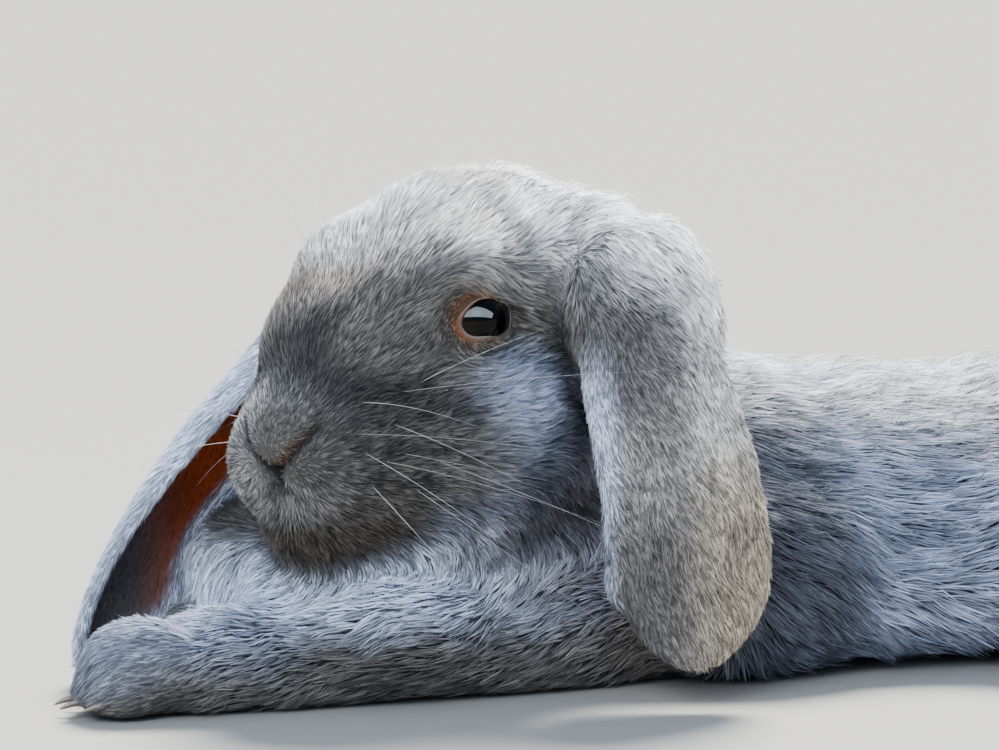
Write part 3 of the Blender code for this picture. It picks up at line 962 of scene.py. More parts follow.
    def trim(self, points: np.ndarray) -> np.ndarray:
        """How much of its zone's length the hair has: less on the nose and beside the lids.

        Args:
            points: places in metres.

        Returns:
            One share a point.
        """
        nose = np.linalg.norm(HEAD.inward(points) - np.array((1.0, 0.0, 1.0)), axis=1)
        beside = 0.32 + 0.68 * smoothstep(1 * MM, 8 * MM, beyond_lids(points))
        for place in EYE_PLACES:
            seen = place.local(points) / place.radius
            over = smoothstep(0.2, 0.7, seen[:, 1] - 0.4 * seen[:, 0]) * (seen[:, 2] > 0)
            beside = np.maximum(beside, 0.85 * over)
        return (0.5 + 0.5 * smoothstep(9, 22, nose)) * beside

    def shared(self, trait: Callable[[Zone], float]) -> np.ndarray:
        """A zone number, blended over the skin: trait picks it from a zone."""
        return self.weights @ np.array([trait(region.value) for region in REGIONS])

    def dress(self) -> None:
        """Gives the skin its colours and its finish, and lets it stand for the flesh."""
        write_colours(self.thing, self.tones * (0.45 + 0.5 * self.inner_ear[:, None]))
        self.thing.data.materials.append(HIDE.material())
        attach(self.thing, BODY)
        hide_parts(*FLESH)


def write_colours(thing: bpy.types.Object, tones: np.ndarray, name: str = TONE) -> None:
    """Stores one colour a point in an attribute.

    Args:
        thing: the object.
        tones: linear colours, one a row.
        name: the attribute that takes them.
    """
    colours = thing.data.color_attributes.new(name, "FLOAT_COLOR", "POINT")
    rows = np.ones((len(tones), 4), np.float32)
    rows[:, :3] = tones
    colours.data.foreach_set("color", rows.ravel())


def globe(down: np.ndarray, turn: np.ndarray) -> np.ndarray:
    """Unit vectors at an angle down from z and a turn round it: sin d cos t, sin d sin t, cos d."""
    return np.stack([np.sin(down) * np.cos(turn), np.sin(down) * np.sin(turn), np.cos(down)], axis=-1)


def pole_grid_faces(rings: int, columns: int) -> np.ndarray:
    """Triangles of a closed form of rings between two poles, facing outwards.

    Args:
        rings: the number of rings.
        columns: the points on a ring.

    Returns:
        Corner numbers: the first pole is 0, then come the rings, and the other pole is last.
    """
    grid = 1 + np.arange(rings * columns).reshape(rings, columns)
    upper, lower = grid[:-1], grid[1:]
    right = np.roll(lower, -1, axis=1)
    first = np.stack([upper, lower, right], axis=-1).reshape(-1, 3)
    second = np.stack([upper, right, np.roll(upper, -1, axis=1)], axis=-1).reshape(-1, 3)
    top = np.stack([np.zeros(columns, int), grid[0], np.roll(grid[0], -1)], axis=-1)
    last = np.full(columns, 1 + rings * columns)
    foot = np.stack([last, np.roll(grid[-1], -1), grid[-1]], axis=-1)
    return np.concatenate([top, first, second, foot])


def ball(centre: np.ndarray, radii: np.ndarray, rows: int = 12) -> Surface:
    """An ellipsoid of triangles: latitude by longitude, with one point at each pole.

    Args:
        centre: its middle in metres.
        radii: its three half-widths in metres.
        rows: the steps from pole to pole.

    Returns:
        The closed surface.
    """
    columns = 2 * rows
    down = np.linspace(0, math.pi, rows + 1)[1:-1]
    turn = np.linspace(0, math.tau, columns, endpoint=False)
    rim = globe(*np.meshgrid(down, turn, indexing="ij")).reshape(-1, 3)
    points = np.concatenate([[[0, 0, 1.0]], rim, [[0, 0, -1.0]]]) * radii + centre
    return Surface(points, pole_grid_faces(rows - 1, columns))


def nearest_nodes(points: np.ndarray, nodes: list[str]) -> np.ndarray:
    """Names the frame node nearest to each point.

    Args:
        points: places in metres.
        nodes: the nodes to choose from.

    Returns:
        One node name a point.
    """
    surfaces = [frame_surface(node) for node in nodes]
    thing = shells("nodes", surfaces)
    owners = np.repeat(np.arange(len(nodes)), [len(surface.points) for surface in surfaces])
    probe = new_piece("probe", points, np.zeros((0, 3), int))
    write_colours(thing, owners[:, None], "owner")
    write_colours(probe, np.zeros((len(points), 1)), "owner")
    transfer = probe.modifiers.new("owner", "DATA_TRANSFER")
    transfer.object = thing
    transfer.use_vert_data = True
    transfer.data_types_verts = {"COLOR_VERTEX"}
    transfer.vert_mapping = "POLY_NEAREST"
    baked(probe)
    rows = np.empty(len(points) * 4, np.float32)
    probe.data.color_attributes["owner"].data.foreach_get("color", rows)
    discard(thing, probe)
    return np.array(nodes)[np.round(rows.reshape(-1, 4)[:, 0]).astype(int)]


# ---------------------------------------------------------------- markings


@dataclass
class Canvas:
    """The skin's points, with all that the markings read there, and the colour laid on so far.

    Lengths are in millimetres: x, y and height in the frame, back, across and up on the head.
    """

    points: np.ndarray
    normals: np.ndarray
    weights: np.ndarray
    ground: Colour

    def __post_init__(self) -> None:
        """Works out the measures and lays the ground colour."""
        self.tone = np.tile(np.array(self.ground), (len(self.points), 1))
        self.x, self.y, self.height = (self.points / MM).T
        self.flat = self.normals[:, 2]
        self.local = HEAD.inward(self.points)
        self.back, self.across, self.up = self.local.T
        self.beside = np.abs(self.across)
        self.patchy = cloud_noise(self.points, 14 * MM, 8)
        self.head = self.zones(Region.MUZZLE, Region.FACE, Region.CROWN)
        self.ears = self.zones(Region.EAR_LEFT, Region.EAR_RIGHT) + self.zones(Region.EAR_BENDS)

    def zones(self, *regions: Region) -> np.ndarray:
        """Each point's share of some zones together."""
        return sum(self.weights[:, REGIONS.index(region)] for region in regions)

    def from_place(self, place: Place) -> np.ndarray:
        """Each point's distance from a frame place."""
        return np.linalg.norm(self.points / MM - np.array(place), axis=1)

    def laid(self, colour: Colour, share: np.ndarray) -> None:
        """Mixes a colour into the tone by a share."""
        self.tone += np.clip(share, 0, 1)[:, None] * (np.array(colour) - self.tone)


@dataclass(frozen=True)
class Markings:
    """The coat's colours: one slate blue, paler and darker by place, as linear colours; some of the paler,
    bluer and darker places are painted sunlight, skylight and shade.
    """

    slate: Colour = (0.162, 0.152, 0.144)
    mist: Colour = (0.34, 0.335, 0.34)
    silver: Colour = (0.46, 0.455, 0.46)
    # This white is laid only as painted sunlight and painted rim light.
    sunlit_white: Colour = (0.86, 0.85, 0.87)
    # This near black serves the coat's dark marks and also painted shade and painted shadow.
    dark_and_shade: Colour = (0.026, 0.025, 0.027)
    # The blue of the next four is partly the coat's own blue-grey and partly painted blue skylight.
    steel: Colour = (0.155, 0.195, 0.285)
    ice: Colour = (0.31, 0.37, 0.52)
    frost: Colour = (0.50, 0.56, 0.76)
    ghost: Colour = (0.68, 0.75, 0.95)
    fawn: Colour = (0.46, 0.39, 0.30)
    umber: Colour = (0.060, 0.038, 0.022)
    rust: Colour = (0.21, 0.082, 0.024)
    ruddy: Colour = (0.36, 0.066, 0.018)
    spots: tuple[tuple[float, float], ...] = (
        *((13, 12), (18.5, 13), (25, 13.5), (32, 14)),
        *((11, 5), (17, 4.5), (24, 5), (31, 6)),
        *((11, -1.5), (18, -3), (26, -2.5), (33, -3)),
        *((14, -9.5), (21, -11.5), (29, -11)),
    )
    saddle: tuple[tuple[Place, Place, float], ...] = (
        ((12, 0, 26), (9, 3, 16), 14.0),
        ((14, 5, 27), (23, 12, 37), 8.5),
        ((9, 7, 18), (14, 17, 14), 13.0),
        ((14, 17, 14), (24, 23, 12), 9.0),
        ((24, 23, 12), (38, 30, 7), 6.5),
    )

    def tones(
        self, points: np.ndarray, normals: np.ndarray, weights: np.ndarray, inner_ear: np.ndarray
    ) -> np.ndarray:
        """The coat's colour at each point.

        Args:
            points: places in metres.
            normals: the skin's normals.
            weights: each point's shares of the zones.
            inner_ear: each point's share of the ears' inner sides.

        Returns:
            Linear colours, one a row.
        """
        on = Canvas(points, normals, weights, self.slate)
        self.mark_body(on)
        self.mark_face(on)
        self.mark_cheeks(on)
        self.mark_eyes_and_nose(on)
        self.mark_ears(on, inner_ear)
        return on.tone * (0.80 + 0.40 * cloud_noise(points, 7 * MM, 5))[:, None]

    def mark_body(self, on: Canvas) -> None:
        """Trunk, legs and chest: blue below and on the chest, partly painted skylight; silver above, partly
        painted sunlight; painted shadow of the near ear behind it.
        """
        trunk = on.zones(Region.SHOULDER, Region.LOIN, Region.RUMP) + on.zones(Region.HINDLEGS)
        # The trunk's blue ground: partly the coat's own blue-grey, partly painted blue skylight.
        on.laid(self.ice, 0.8 * trunk)
        # Painted sunlight: silver on the trunk's higher and upward-facing parts, partly the coat's own
        # silver.
        lit = on.height + 36 * (on.flat - 0.6) + 14 * (on.patchy - 0.5)
        on.laid(self.silver, 0.9 * trunk * smoothstep(48, 84, lit))
        # Painted shadow of the near ear: the trunk darkened just behind it, low down.
        ear_shadow = trunk * smoothstep(6, -14, on.x)
        on.laid(self.dark_and_shade, 0.75 * ear_shadow * smoothstep(76, 50, on.height))
        # Painted sunlight: pale blue along the top of the back, partly the coat's own paler back.
        top = smoothstep(64, 86, on.height + 10 * (on.patchy - 0.5))
        on.laid(self.ghost, 0.7 * trunk * top * smoothstep(-30, 0, on.x))
        on.laid(self.dark_and_shade, 0.30 * trunk * smoothstep(0.5, 0.8, on.patchy) * smoothstep(60, 20, on.height))
        legs = on.zones(Region.FORELEGS, Region.FOREPAWS)
        # Paler blue on the legs' upward-facing sides: painted skylight, partly the legs' own colour.
        on.laid(self.ice, 0.6 * legs * smoothstep(-0.3, 0.6, on.flat))
        # Pale blue on breast and throat: partly the coat's own paler colour, partly painted skylight that
        # lifts them out of the head's shade.
        breast = on.zones(Region.FORELEGS, Region.SHOULDER) * smoothstep(-76, -92, on.x)
        ahead = 0.42 + 0.38 * smoothstep(-104, -136, on.x)
        on.laid(self.ghost, ahead * (on.zones(Region.NECK) + breast) * smoothstep(16, 32, on.height))
        on.laid(self.steel, 0.6 * on.zones(Region.HINDLEGS, Region.HINDFEET, Region.TAIL))

    def mark_face(self, on: Canvas) -> None:
        """Crown and forehead pale, partly painted sunlight on the top of the head, with painted highlights on
        the brows and at the back of the crown, and a dark saddle over the nose that runs down to the cheeks.
        """
        # Painted sunlight: silver on the higher parts of the head, partly the coat's own silver tips.
        high = on.up + 0.25 * on.back + 7 * on.patchy - 3.5
        on.laid(self.silver, 0.88 * on.head * smoothstep(45, 66, high))
        # Painted sunlight: near-white at the back of the crown.
        rear = smoothstep(64, 74, on.back) * smoothstep(42, 52, on.up) * smoothstep(12, 22, on.beside)
        on.laid(self.sunlit_white, 0.85 * on.head * rear)
        cool = smoothstep(20, 32, on.back) * smoothstep(58, 46, on.back)
        cool = cool * smoothstep(36, 46, on.up) * smoothstep(-12, 4, on.across)
        on.laid(self.ghost, 0.15 * on.head * cool)
        # Painted highlight on the brow ridges.
        brow = np.linalg.norm(np.stack([on.back - 56, on.beside - 29, on.up - 45], axis=1), axis=1)
        on.laid(self.silver, 0.6 * on.head * smoothstep(14, 4, brow))
        low_front = smoothstep(20, 8, on.up) * smoothstep(52, 34, on.back) * smoothstep(-2, 8, on.back)
        on.laid(self.dark_and_shade, 0.36 * on.head * low_front)
        half = np.stack([on.back, on.beside, on.up], axis=1)
        for start, end, reach in self.saddle:
            away = from_line(half, np.array(start), np.array(end)) + 5 * on.patchy - 2.5
            on.laid(self.dark_and_shade, 0.72 * on.head * smoothstep(reach, -0.2 * reach, away))

    def mark_cheeks(self, on: Canvas) -> None:
        """Blue cheeks, partly painted skylight, with a painted highlight under the eye; painted shadow on the
        throat, under the jaw and below the lower lip; pale lips, with painted rim light on the far lip and
        the nose tip; and painted shade in the fold by the ear and behind the eye.
        """
        # Blue on the cheeks: partly the coat's own blue-grey, partly painted blue skylight.
        on.laid(self.steel, 0.8 * on.head * smoothstep(34, 62, on.back) * smoothstep(25, 6, on.up))
        # Painted highlight under the eye, partly the cheek's own paler hair.
        under_eye = np.linalg.norm((on.local - np.array((58, 0, 11))) * np.array((1, 0, 1.3)), axis=1)
        on.laid(self.frost, 0.7 * on.head * smoothstep(21, 5, under_eye) * smoothstep(22, 30, on.beside))
        # Painted shade under the jaw, on the head and the throat.
        below = (on.head + on.zones(Region.NECK)) * smoothstep(-38, -26, on.up)
        on.laid(self.dark_and_shade, 0.8 * below * smoothstep(-3, -16, on.up) * smoothstep(42, 58, on.back))
        # Painted shadow below the lower lip, dark with a little brown in it.
        chin_shadow = on.head * smoothstep(-18, -25, on.up) * smoothstep(40, 26, on.back)
        on.laid(self.dark_and_shade, 0.85 * chin_shadow * smoothstep(-35, -29, on.up))
        on.laid(self.fawn, 0.10 * chin_shadow)
        # Blue low on the jaw: partly the coat's own blue-grey, partly painted blue skylight.
        on.laid(self.steel, 0.6 * on.head * smoothstep(-12, -22, on.up) * smoothstep(28, 40, on.back))
        # Painted rim light: paler hair on the far side of the lip.
        far_lip_rim_light = smoothstep(9, 2, on.back) * smoothstep(-18, -9, on.up) * smoothstep(0, 6, on.across)
        on.laid(self.mist, 0.9 * on.head * far_lip_rim_light)
        lip = smoothstep(12, 4, on.back) * smoothstep(-8, -12, on.up) * smoothstep(-22, -18, on.up)
        on.laid(self.mist, 0.35 * on.head * lip)
        # Painted rim light: paler hair on top of the nose tip.
        on.laid(self.mist, 0.4 * on.head * smoothstep(9, 3, on.back) * smoothstep(4, 12, on.up))
        # Painted shade in the fold behind the eye, and in the hollow between the eye and the ear.
        on.laid(self.dark_and_shade, 0.9 * on.head * FOLD.nearness(on.local) * smoothstep(50, 26, on.up))
        shade = smoothstep(64, 74, on.back) * smoothstep(92, 80, on.back) * smoothstep(40, 26, on.up)
        on.laid(self.dark_and_shade, 0.78 * on.head * shade)

    def mark_eyes_and_nose(self, on: Canvas) -> None:
        """Brown rims round the lids and nostrils, dark slits with painted shade in them, painted shade
        between the hair clumps of the lip pads, and dark whisker spots on the pads.
        """
        around = smoothstep(9 * MM, 0.5 * MM, beyond_lids(on.points))
        on.laid(self.umber, 0.4 * on.head * around * smoothstep(58, 46, on.back))
        rim = smoothstep(1.5 * MM, 0.1 * MM, beyond_lids(on.points))
        on.laid(self.rust, 0.55 * on.head * rim * smoothstep(54, 48, on.back))
        on.laid(self.umber, 0.5 * on.head * rim * smoothstep(48, 54, on.back))
        above = NOSTRIL.nearness(on.local - np.array((0, 0, 1.6))) ** 2
        on.laid(self.rust, 0.5 * on.head * smoothstep(4, -1, on.up) * above)
        # Dark in the nostril slits, the cleft and the mouth line: partly dark skin, partly painted shade in
        # these grooves.
        on.laid(self.dark_and_shade, on.head * NOSTRIL.nearness(on.local + np.array((0, 0, 0.4))))
        on.laid(self.dark_and_shade, on.head * PHILTRUM.nearness(on.local))
        on.laid(self.dark_and_shade, 0.6 * on.head * MOUTH.nearness(on.local))
        pad = on.head * smoothstep(7, 12, on.beside) * smoothstep(45, 38, on.back)
        # Painted shade between the lip pads' hair clumps, from a fine noise that also roughens the whisker
        # spots.
        speck = cloud_noise(on.points, 1.6 * MM, 12)
        on.laid(self.dark_and_shade, 0.55 * pad * smoothstep(0.55, 0.8, speck))
        side = np.stack([on.back, on.up], axis=1)
        for spot in self.spots:
            reach = np.linalg.norm(side - np.array(spot), axis=1)
            on.laid(self.dark_and_shade, 0.96 * pad * smoothstep(3.1, 1.3, reach + 1.2 * speck))

    def mark_ears(self, on: Canvas, inner_ear: np.ndarray) -> None:
        """Grey ears with painted sunlight on the upper side of their bends, painted rim light along the near
        ear's rear rim and painted shade under its bend, pale front edges, fawn at the tips, and red-brown
        within, partly painted light shining through the far ear.

        Args:
            on: the canvas.
            inner_ear: each point's share of the ears' inner sides.
        """
        on.laid(self.mist, 0.9 * on.ears)
        on.laid(self.ice, 0.7 * on.zones(Region.EAR_RIGHT))
        on.laid(self.steel, 0.25 * on.zones(Region.EAR_RIGHT))
        upper = on.from_place((-71, -83, 92)) + 8 * on.patchy - 4
        on.laid(self.dark_and_shade, 0.5 * on.ears * smoothstep(25, 6, upper))
        # Painted sunlight: silver and near-white on the upward-facing upper parts of the ears' bends, the
        # crown and the neck, partly the coat's own silver.
        sunlit_tops = on.ears + on.zones(Region.NECK, Region.CROWN)
        on.laid(self.silver, 0.9 * sunlit_tops * smoothstep(0.1, 0.7, on.flat) * smoothstep(88, 110, on.height))
        sunlit_tops = sunlit_tops * smoothstep(100, 116, on.height) * smoothstep(68, 82, on.back)
        on.laid(self.sunlit_white, 0.95 * sunlit_tops * smoothstep(0.0, 0.4, on.flat))
        # Painted rim light along the near ear's rear rim; the brown laid next stays off it.
        rim_lit_edge = smoothstep(-64, -52, on.x) * (on.y < 0)
        on.laid(self.sunlit_white, 0.75 * on.ears * rim_lit_edge * smoothstep(48, 72, on.height))
        on.laid(self.umber, 0.45 * on.ears * smoothstep(66, 40, on.height) * (1 - rim_lit_edge))
        # Painted shade at the near ear's bend, on its sides that do not face up.
        bend = smoothstep(21, 6, on.from_place((-73, -74, 106)) + 6 * on.patchy - 2)
        on.laid(self.dark_and_shade, 0.52 * (on.ears + on.head) * bend * smoothstep(0.8, 0.35, on.flat))
        on.laid(self.ghost, 0.80 * on.ears * smoothstep(-74, -79, on.x) * smoothstep(100, 80, on.height))
        # Painted sunlight: a near-white pool on the top of the near ear's bend and the crown beside it.
        lit = smoothstep(21, 7, on.from_place((-62, -70, 125)) + 6 * on.patchy - 3)
        on.laid(self.sunlit_white, 0.70 * (on.ears + on.zones(Region.CROWN)) * lit)
        on.laid(self.fawn, 0.8 * on.ears * smoothstep(92, 50, on.height) * smoothstep(-66, -50, on.x))
        # Red-brown within the ears: partly the inner skin's own colour, partly painted light shining through
        # the far ear.
        on.laid(self.umber, 0.9 * inner_ear)
        warm = smoothstep(-182, -158, on.x)
        on.laid(self.ruddy, inner_ear * np.where(on.y > -30, warm, 0.7))


MARKINGS = Markings()


# ---------------------------------------------------------------- finishes


def blank_material(name: str) -> tuple[bpy.types.Material, bpy.types.Node]:
    """A new material with its Principled shader."""
    material = bpy.data.materials.new(name)
    material.use_nodes = True
    return material, material.node_tree.nodes["Principled BSDF"]


def feed(tree: bpy.types.NodeTree, node: bpy.types.Node, inputs: dict) -> bpy.types.Node:
    """Links each named input to a socket, or gives it a value.

    Args:
        tree: the tree that the node is in.
        node: the node.
        inputs: sockets or values by the input's name or number.

    Returns:
        The same node.
    """
    for name, value in inputs.items():
        if isinstance(value, bpy.types.NodeSocket):
            tree.links.new(value, node.inputs[name])
        else:
            node.inputs[name].default_value = value
    return node


def added(tree: bpy.types.NodeTree, kind: str, inputs: dict | None = None, **settings) -> bpy.types.Node:
    """Adds a node with its settings and inputs.

    Args:
        tree: the tree that it joins.
        kind: the node's type.
        inputs: sockets or values by the input's name or number.
        settings: the node's own properties.

    Returns:
        The new node.
    """
    node = tree.nodes.new(kind)
    for name, value in settings.items():
        setattr(node, name, value)
    return feed(tree, node, inputs or {})


def strand_group() -> bpy.types.NodeTree:
    """Fine strands: a stretched noise n makes a colour darker and lighter, by 1 + contrast (n - 1/2).

    Inputs: Vector, Color, Across and Along (how many strands in a metre), Contrast. Outputs: Color,
    Height.

    Returns:
        The node group, made once.
    """
    made = bpy.data.node_groups.get("fine_strands")
    if made is not None:
        return made
    group = bpy.data.node_groups.new("fine_strands", "ShaderNodeTree")
    face = group.interface
    face.new_socket("Vector", in_out="INPUT", socket_type="NodeSocketVector")
    face.new_socket("Color", in_out="INPUT", socket_type="NodeSocketColor")
    for name, value in (("Across", 1.0), ("Along", 1.0), ("Contrast", 0.3)):
        face.new_socket(name, in_out="INPUT", socket_type="NodeSocketFloat").default_value = value
    face.new_socket("Color", in_out="OUTPUT", socket_type="NodeSocketColor")
    face.new_socket("Height", in_out="OUTPUT", socket_type="NodeSocketFloat")
    given = added(group, "NodeGroupInput").outputs
    along, contrast = given["Along"], given["Contrast"]
    scale = added(group, "ShaderNodeCombineXYZ", {"X": given["Across"], "Y": along, "Z": along})
    stretch = {0: given["Vector"], 1: scale.outputs["Vector"]}
    stretch = added(group, "ShaderNodeVectorMath", stretch, operation="MULTIPLY")
    noise = {"Scale": 1.0, "Detail": 2.0, "Vector": stretch.outputs["Vector"]}
    noise = added(group, "ShaderNodeTexNoise", noise).outputs["Fac"]
    middle = added(group, "ShaderNodeMath", {0: contrast, 1: -0.5, 2: 1.0}, operation="MULTIPLY_ADD")
    spread = {0: noise, 1: contrast, 2: middle.outputs["Value"]}
    spread = added(group, "ShaderNodeMath", spread, operation="MULTIPLY_ADD")
    shade = {0: given["Color"], "Scale": spread.outputs["Value"]}
    shade = added(group, "ShaderNodeVectorMath", shade, operation="SCALE")
    added(group, "NodeGroupOutput", {"Color": shade.outputs["Vector"], "Height": noise})
    return group


class Follows(Enum):
    """What a pattern follows: the node that gives its coordinates, and that node's output."""

    PLACE = ("ShaderNodeTexCoord", "Object")
    FLAT_MAP = ("ShaderNodeUVMap", "UV")


@dataclass(frozen=True)
class Finish:
    """Fine strands over the piece's own tones, or over one colour, with a gloss.

    Across and along count the strands in a metre, relief is their height in metres, and bloom is a
    pale sheen at the edges.
    """

    name: str
    across: float
    along: float
    contrast: float
    roughness: float
    specular: float
    colour: Colour | None = None
    follows: Follows = Follows.PLACE
    relief: float = 0.0
    strength: float = 0.0
    bloom: float = 0.0

    def material(self) -> bpy.types.Material:
        """Makes the material, or finds it."""
        made = bpy.data.materials.get(self.name)
        if made is not None:
            return made
        material, shader = blank_material(self.name)
        tree = material.node_tree
        kind, output = self.follows.value
        place = added(tree, kind)
        if self.follows is Follows.FLAT_MAP:
            place.uv_map = BAKE_MAP
        colour = (*self.colour, 1.0) if self.colour else None
        if colour is None:
            colour = added(tree, "ShaderNodeAttribute", attribute_name=TONE).outputs["Color"]
        inputs = {
            "Vector": place.outputs[output],
            "Color": colour,
            "Across": self.across,
            "Along": self.along,
            "Contrast": self.contrast,
        }
        strands = added(tree, "ShaderNodeGroup", node_tree=strand_group())
        feed(tree, strands, inputs)
        feed(
            tree,
            shader,
            {
                "Base Color": strands.outputs["Color"],
                "Roughness": self.roughness,
                "Specular IOR Level": self.specular,
            },
        )
        if self.relief:
            bump = {"Strength": self.strength, "Distance": self.relief, "Height": strands.outputs["Height"]}
            bump = added(tree, "ShaderNodeBump", bump)
            feed(tree, shader, {"Normal": bump.outputs["Normal"]})
        if self.bloom:
            shader.inputs["Sheen Weight"].default_value = self.bloom
            shader.inputs["Sheen Roughness"].default_value = 0.45
            shader.inputs["Sheen Tint"].default_value = (0.86, 0.9, 1.0, 1.0)
        return material


FUR = Finish("soft_hair", 2600.0, 208.0, 0.7, 0.6, 0.02, follows=Follows.FLAT_MAP, bloom=0.02)
HIDE = Finish("hide", 1400.0, 560.0, 0.9, 0.8, 0.03, relief=0.4 * MM, strength=0.5)
LID_SKIN = Finish("lid_skin", 900.0, 900.0, 0.6, 0.55, 0.12, relief=0.3 * MM, strength=0.35)
HORN = Finish("horn", 300.0, 1500.0, 0.5, 0.4, 0.12, colour=(0.16, 0.135, 0.115))
WHISKER = Finish("whisker", 160.0, 160.0, 0.9, 0.5, 0.15, colour=(0.46, 0.45, 0.44))


@dataclass(frozen=True)
class EyeFinish:
    """A wet, dark eye: black pupil, near-black iris, and a dark white that hardly shows.

    Each stop is a share of a right angle from the gaze, with its colour.
    """

    name: str = "wet_eye"
    stops: tuple[tuple[float, Colour], ...] = (
        (0.0, (0.001, 0.001, 0.0012)),
        (0.30, (0.001, 0.001, 0.0012)),
        (0.36, (0.0030, 0.0022, 0.0018)),
        (0.50, (0.0055, 0.0042, 0.0034)),
        (0.60, (0.0025, 0.0020, 0.0018)),
        (0.72, (0.030, 0.025, 0.024)),
    )

    def material(self) -> bpy.types.Material:
        """Makes the material, or finds it."""
        made = bpy.data.materials.get(self.name)
        if made is not None:
            return made
        material, shader = blank_material(self.name)
        tree = material.node_tree
        angle = added(tree, "ShaderNodeAttribute", attribute_name="angle").outputs["Fac"]
        share = added(tree, "ShaderNodeMath", {0: angle, 1: 90.0}, operation="DIVIDE")
        ramp = added(tree, "ShaderNodeValToRGB", {"Fac": share.outputs["Value"]})
        while len(ramp.color_ramp.elements) < len(self.stops):
            ramp.color_ramp.elements.new(0.5)
        for element, (place, colour) in zip(ramp.color_ramp.elements, self.stops):
            element.position = place
            element.color = (*colour, 1.0)
        gloss = {"Roughness": 0.035, "Specular IOR Level": 0.09}
        feed(tree, shader, {"Base Color": ramp.outputs["Color"], **gloss})
        return material


WET_EYE = EyeFinish()


# ---------------------------------------------------------------- coat


@dataclass
class Hairs:
    """The tufts' places and directions, one row a tuft: root, middle and tip in metres."""

    low: np.ndarray
    middle: np.ndarray
    tip: np.ndarray
    side: np.ndarray
    normal: np.ndarray
    lie: np.ndarray
    width: np.ndarray


@dataclass
class Form:
    """The tufts' points and own normals, and the faces and shares that every tuft has."""

    points: np.ndarray
    own: np.ndarray
    pattern: tuple[tuple[int, int, int], ...]
    along: tuple[float, ...]
    across: tuple[float, ...]


def spindles(hairs: Hairs) -> Form:
    """Curved tufts: a buried point, a ring of three at the middle and a fine tip."""
    half, ridge = hairs.side * hairs.width[:, None] * 0.5, hairs.normal * hairs.width[:, None] * 0.45
    ring = [hairs.middle - half, hairs.middle + ridge, hairs.middle + half]
    lift = hairs.normal * 0.3
    own = [-hairs.lie, -hairs.side + lift, hairs.normal, hairs.side + lift, hairs.lie + hairs.normal]
    return Form(
        np.stack([hairs.low, *ring, hairs.tip], axis=1),
        np.stack(own, axis=1),
        ((1, 4, 2), (2, 4, 3), (3, 4, 1), (1, 2, 0), (2, 3, 0), (3, 1, 0)),
        (0.0, 0.42, 0.42, 0.42, 1.0),
        (0.0, -0.5, 0.0, 0.5, 0.0),
    )


def spikes(hairs: Hairs) -> Form:
    """Straight tufts: a buried ring of three and a fine tip."""
    half, ridge = hairs.side * hairs.width[:, None] * 0.5, hairs.normal * hairs.width[:, None] * 0.6
    ring = [hairs.low - half, hairs.low + ridge, hairs.low + half]
    lift = hairs.normal * 0.3
    own = [-hairs.side + lift, hairs.normal, hairs.side + lift, hairs.lie + hairs.normal]
    return Form(
        np.stack([*ring, hairs.tip], axis=1),
        np.stack(own, axis=1),
        ((0, 3, 1), (1, 3, 2), (2, 3, 0), (0, 1, 2)),
        (0.0, 0.0, 0.0, 1.0),
        (-0.5, 0.0, 0.5, 0.0),
    )


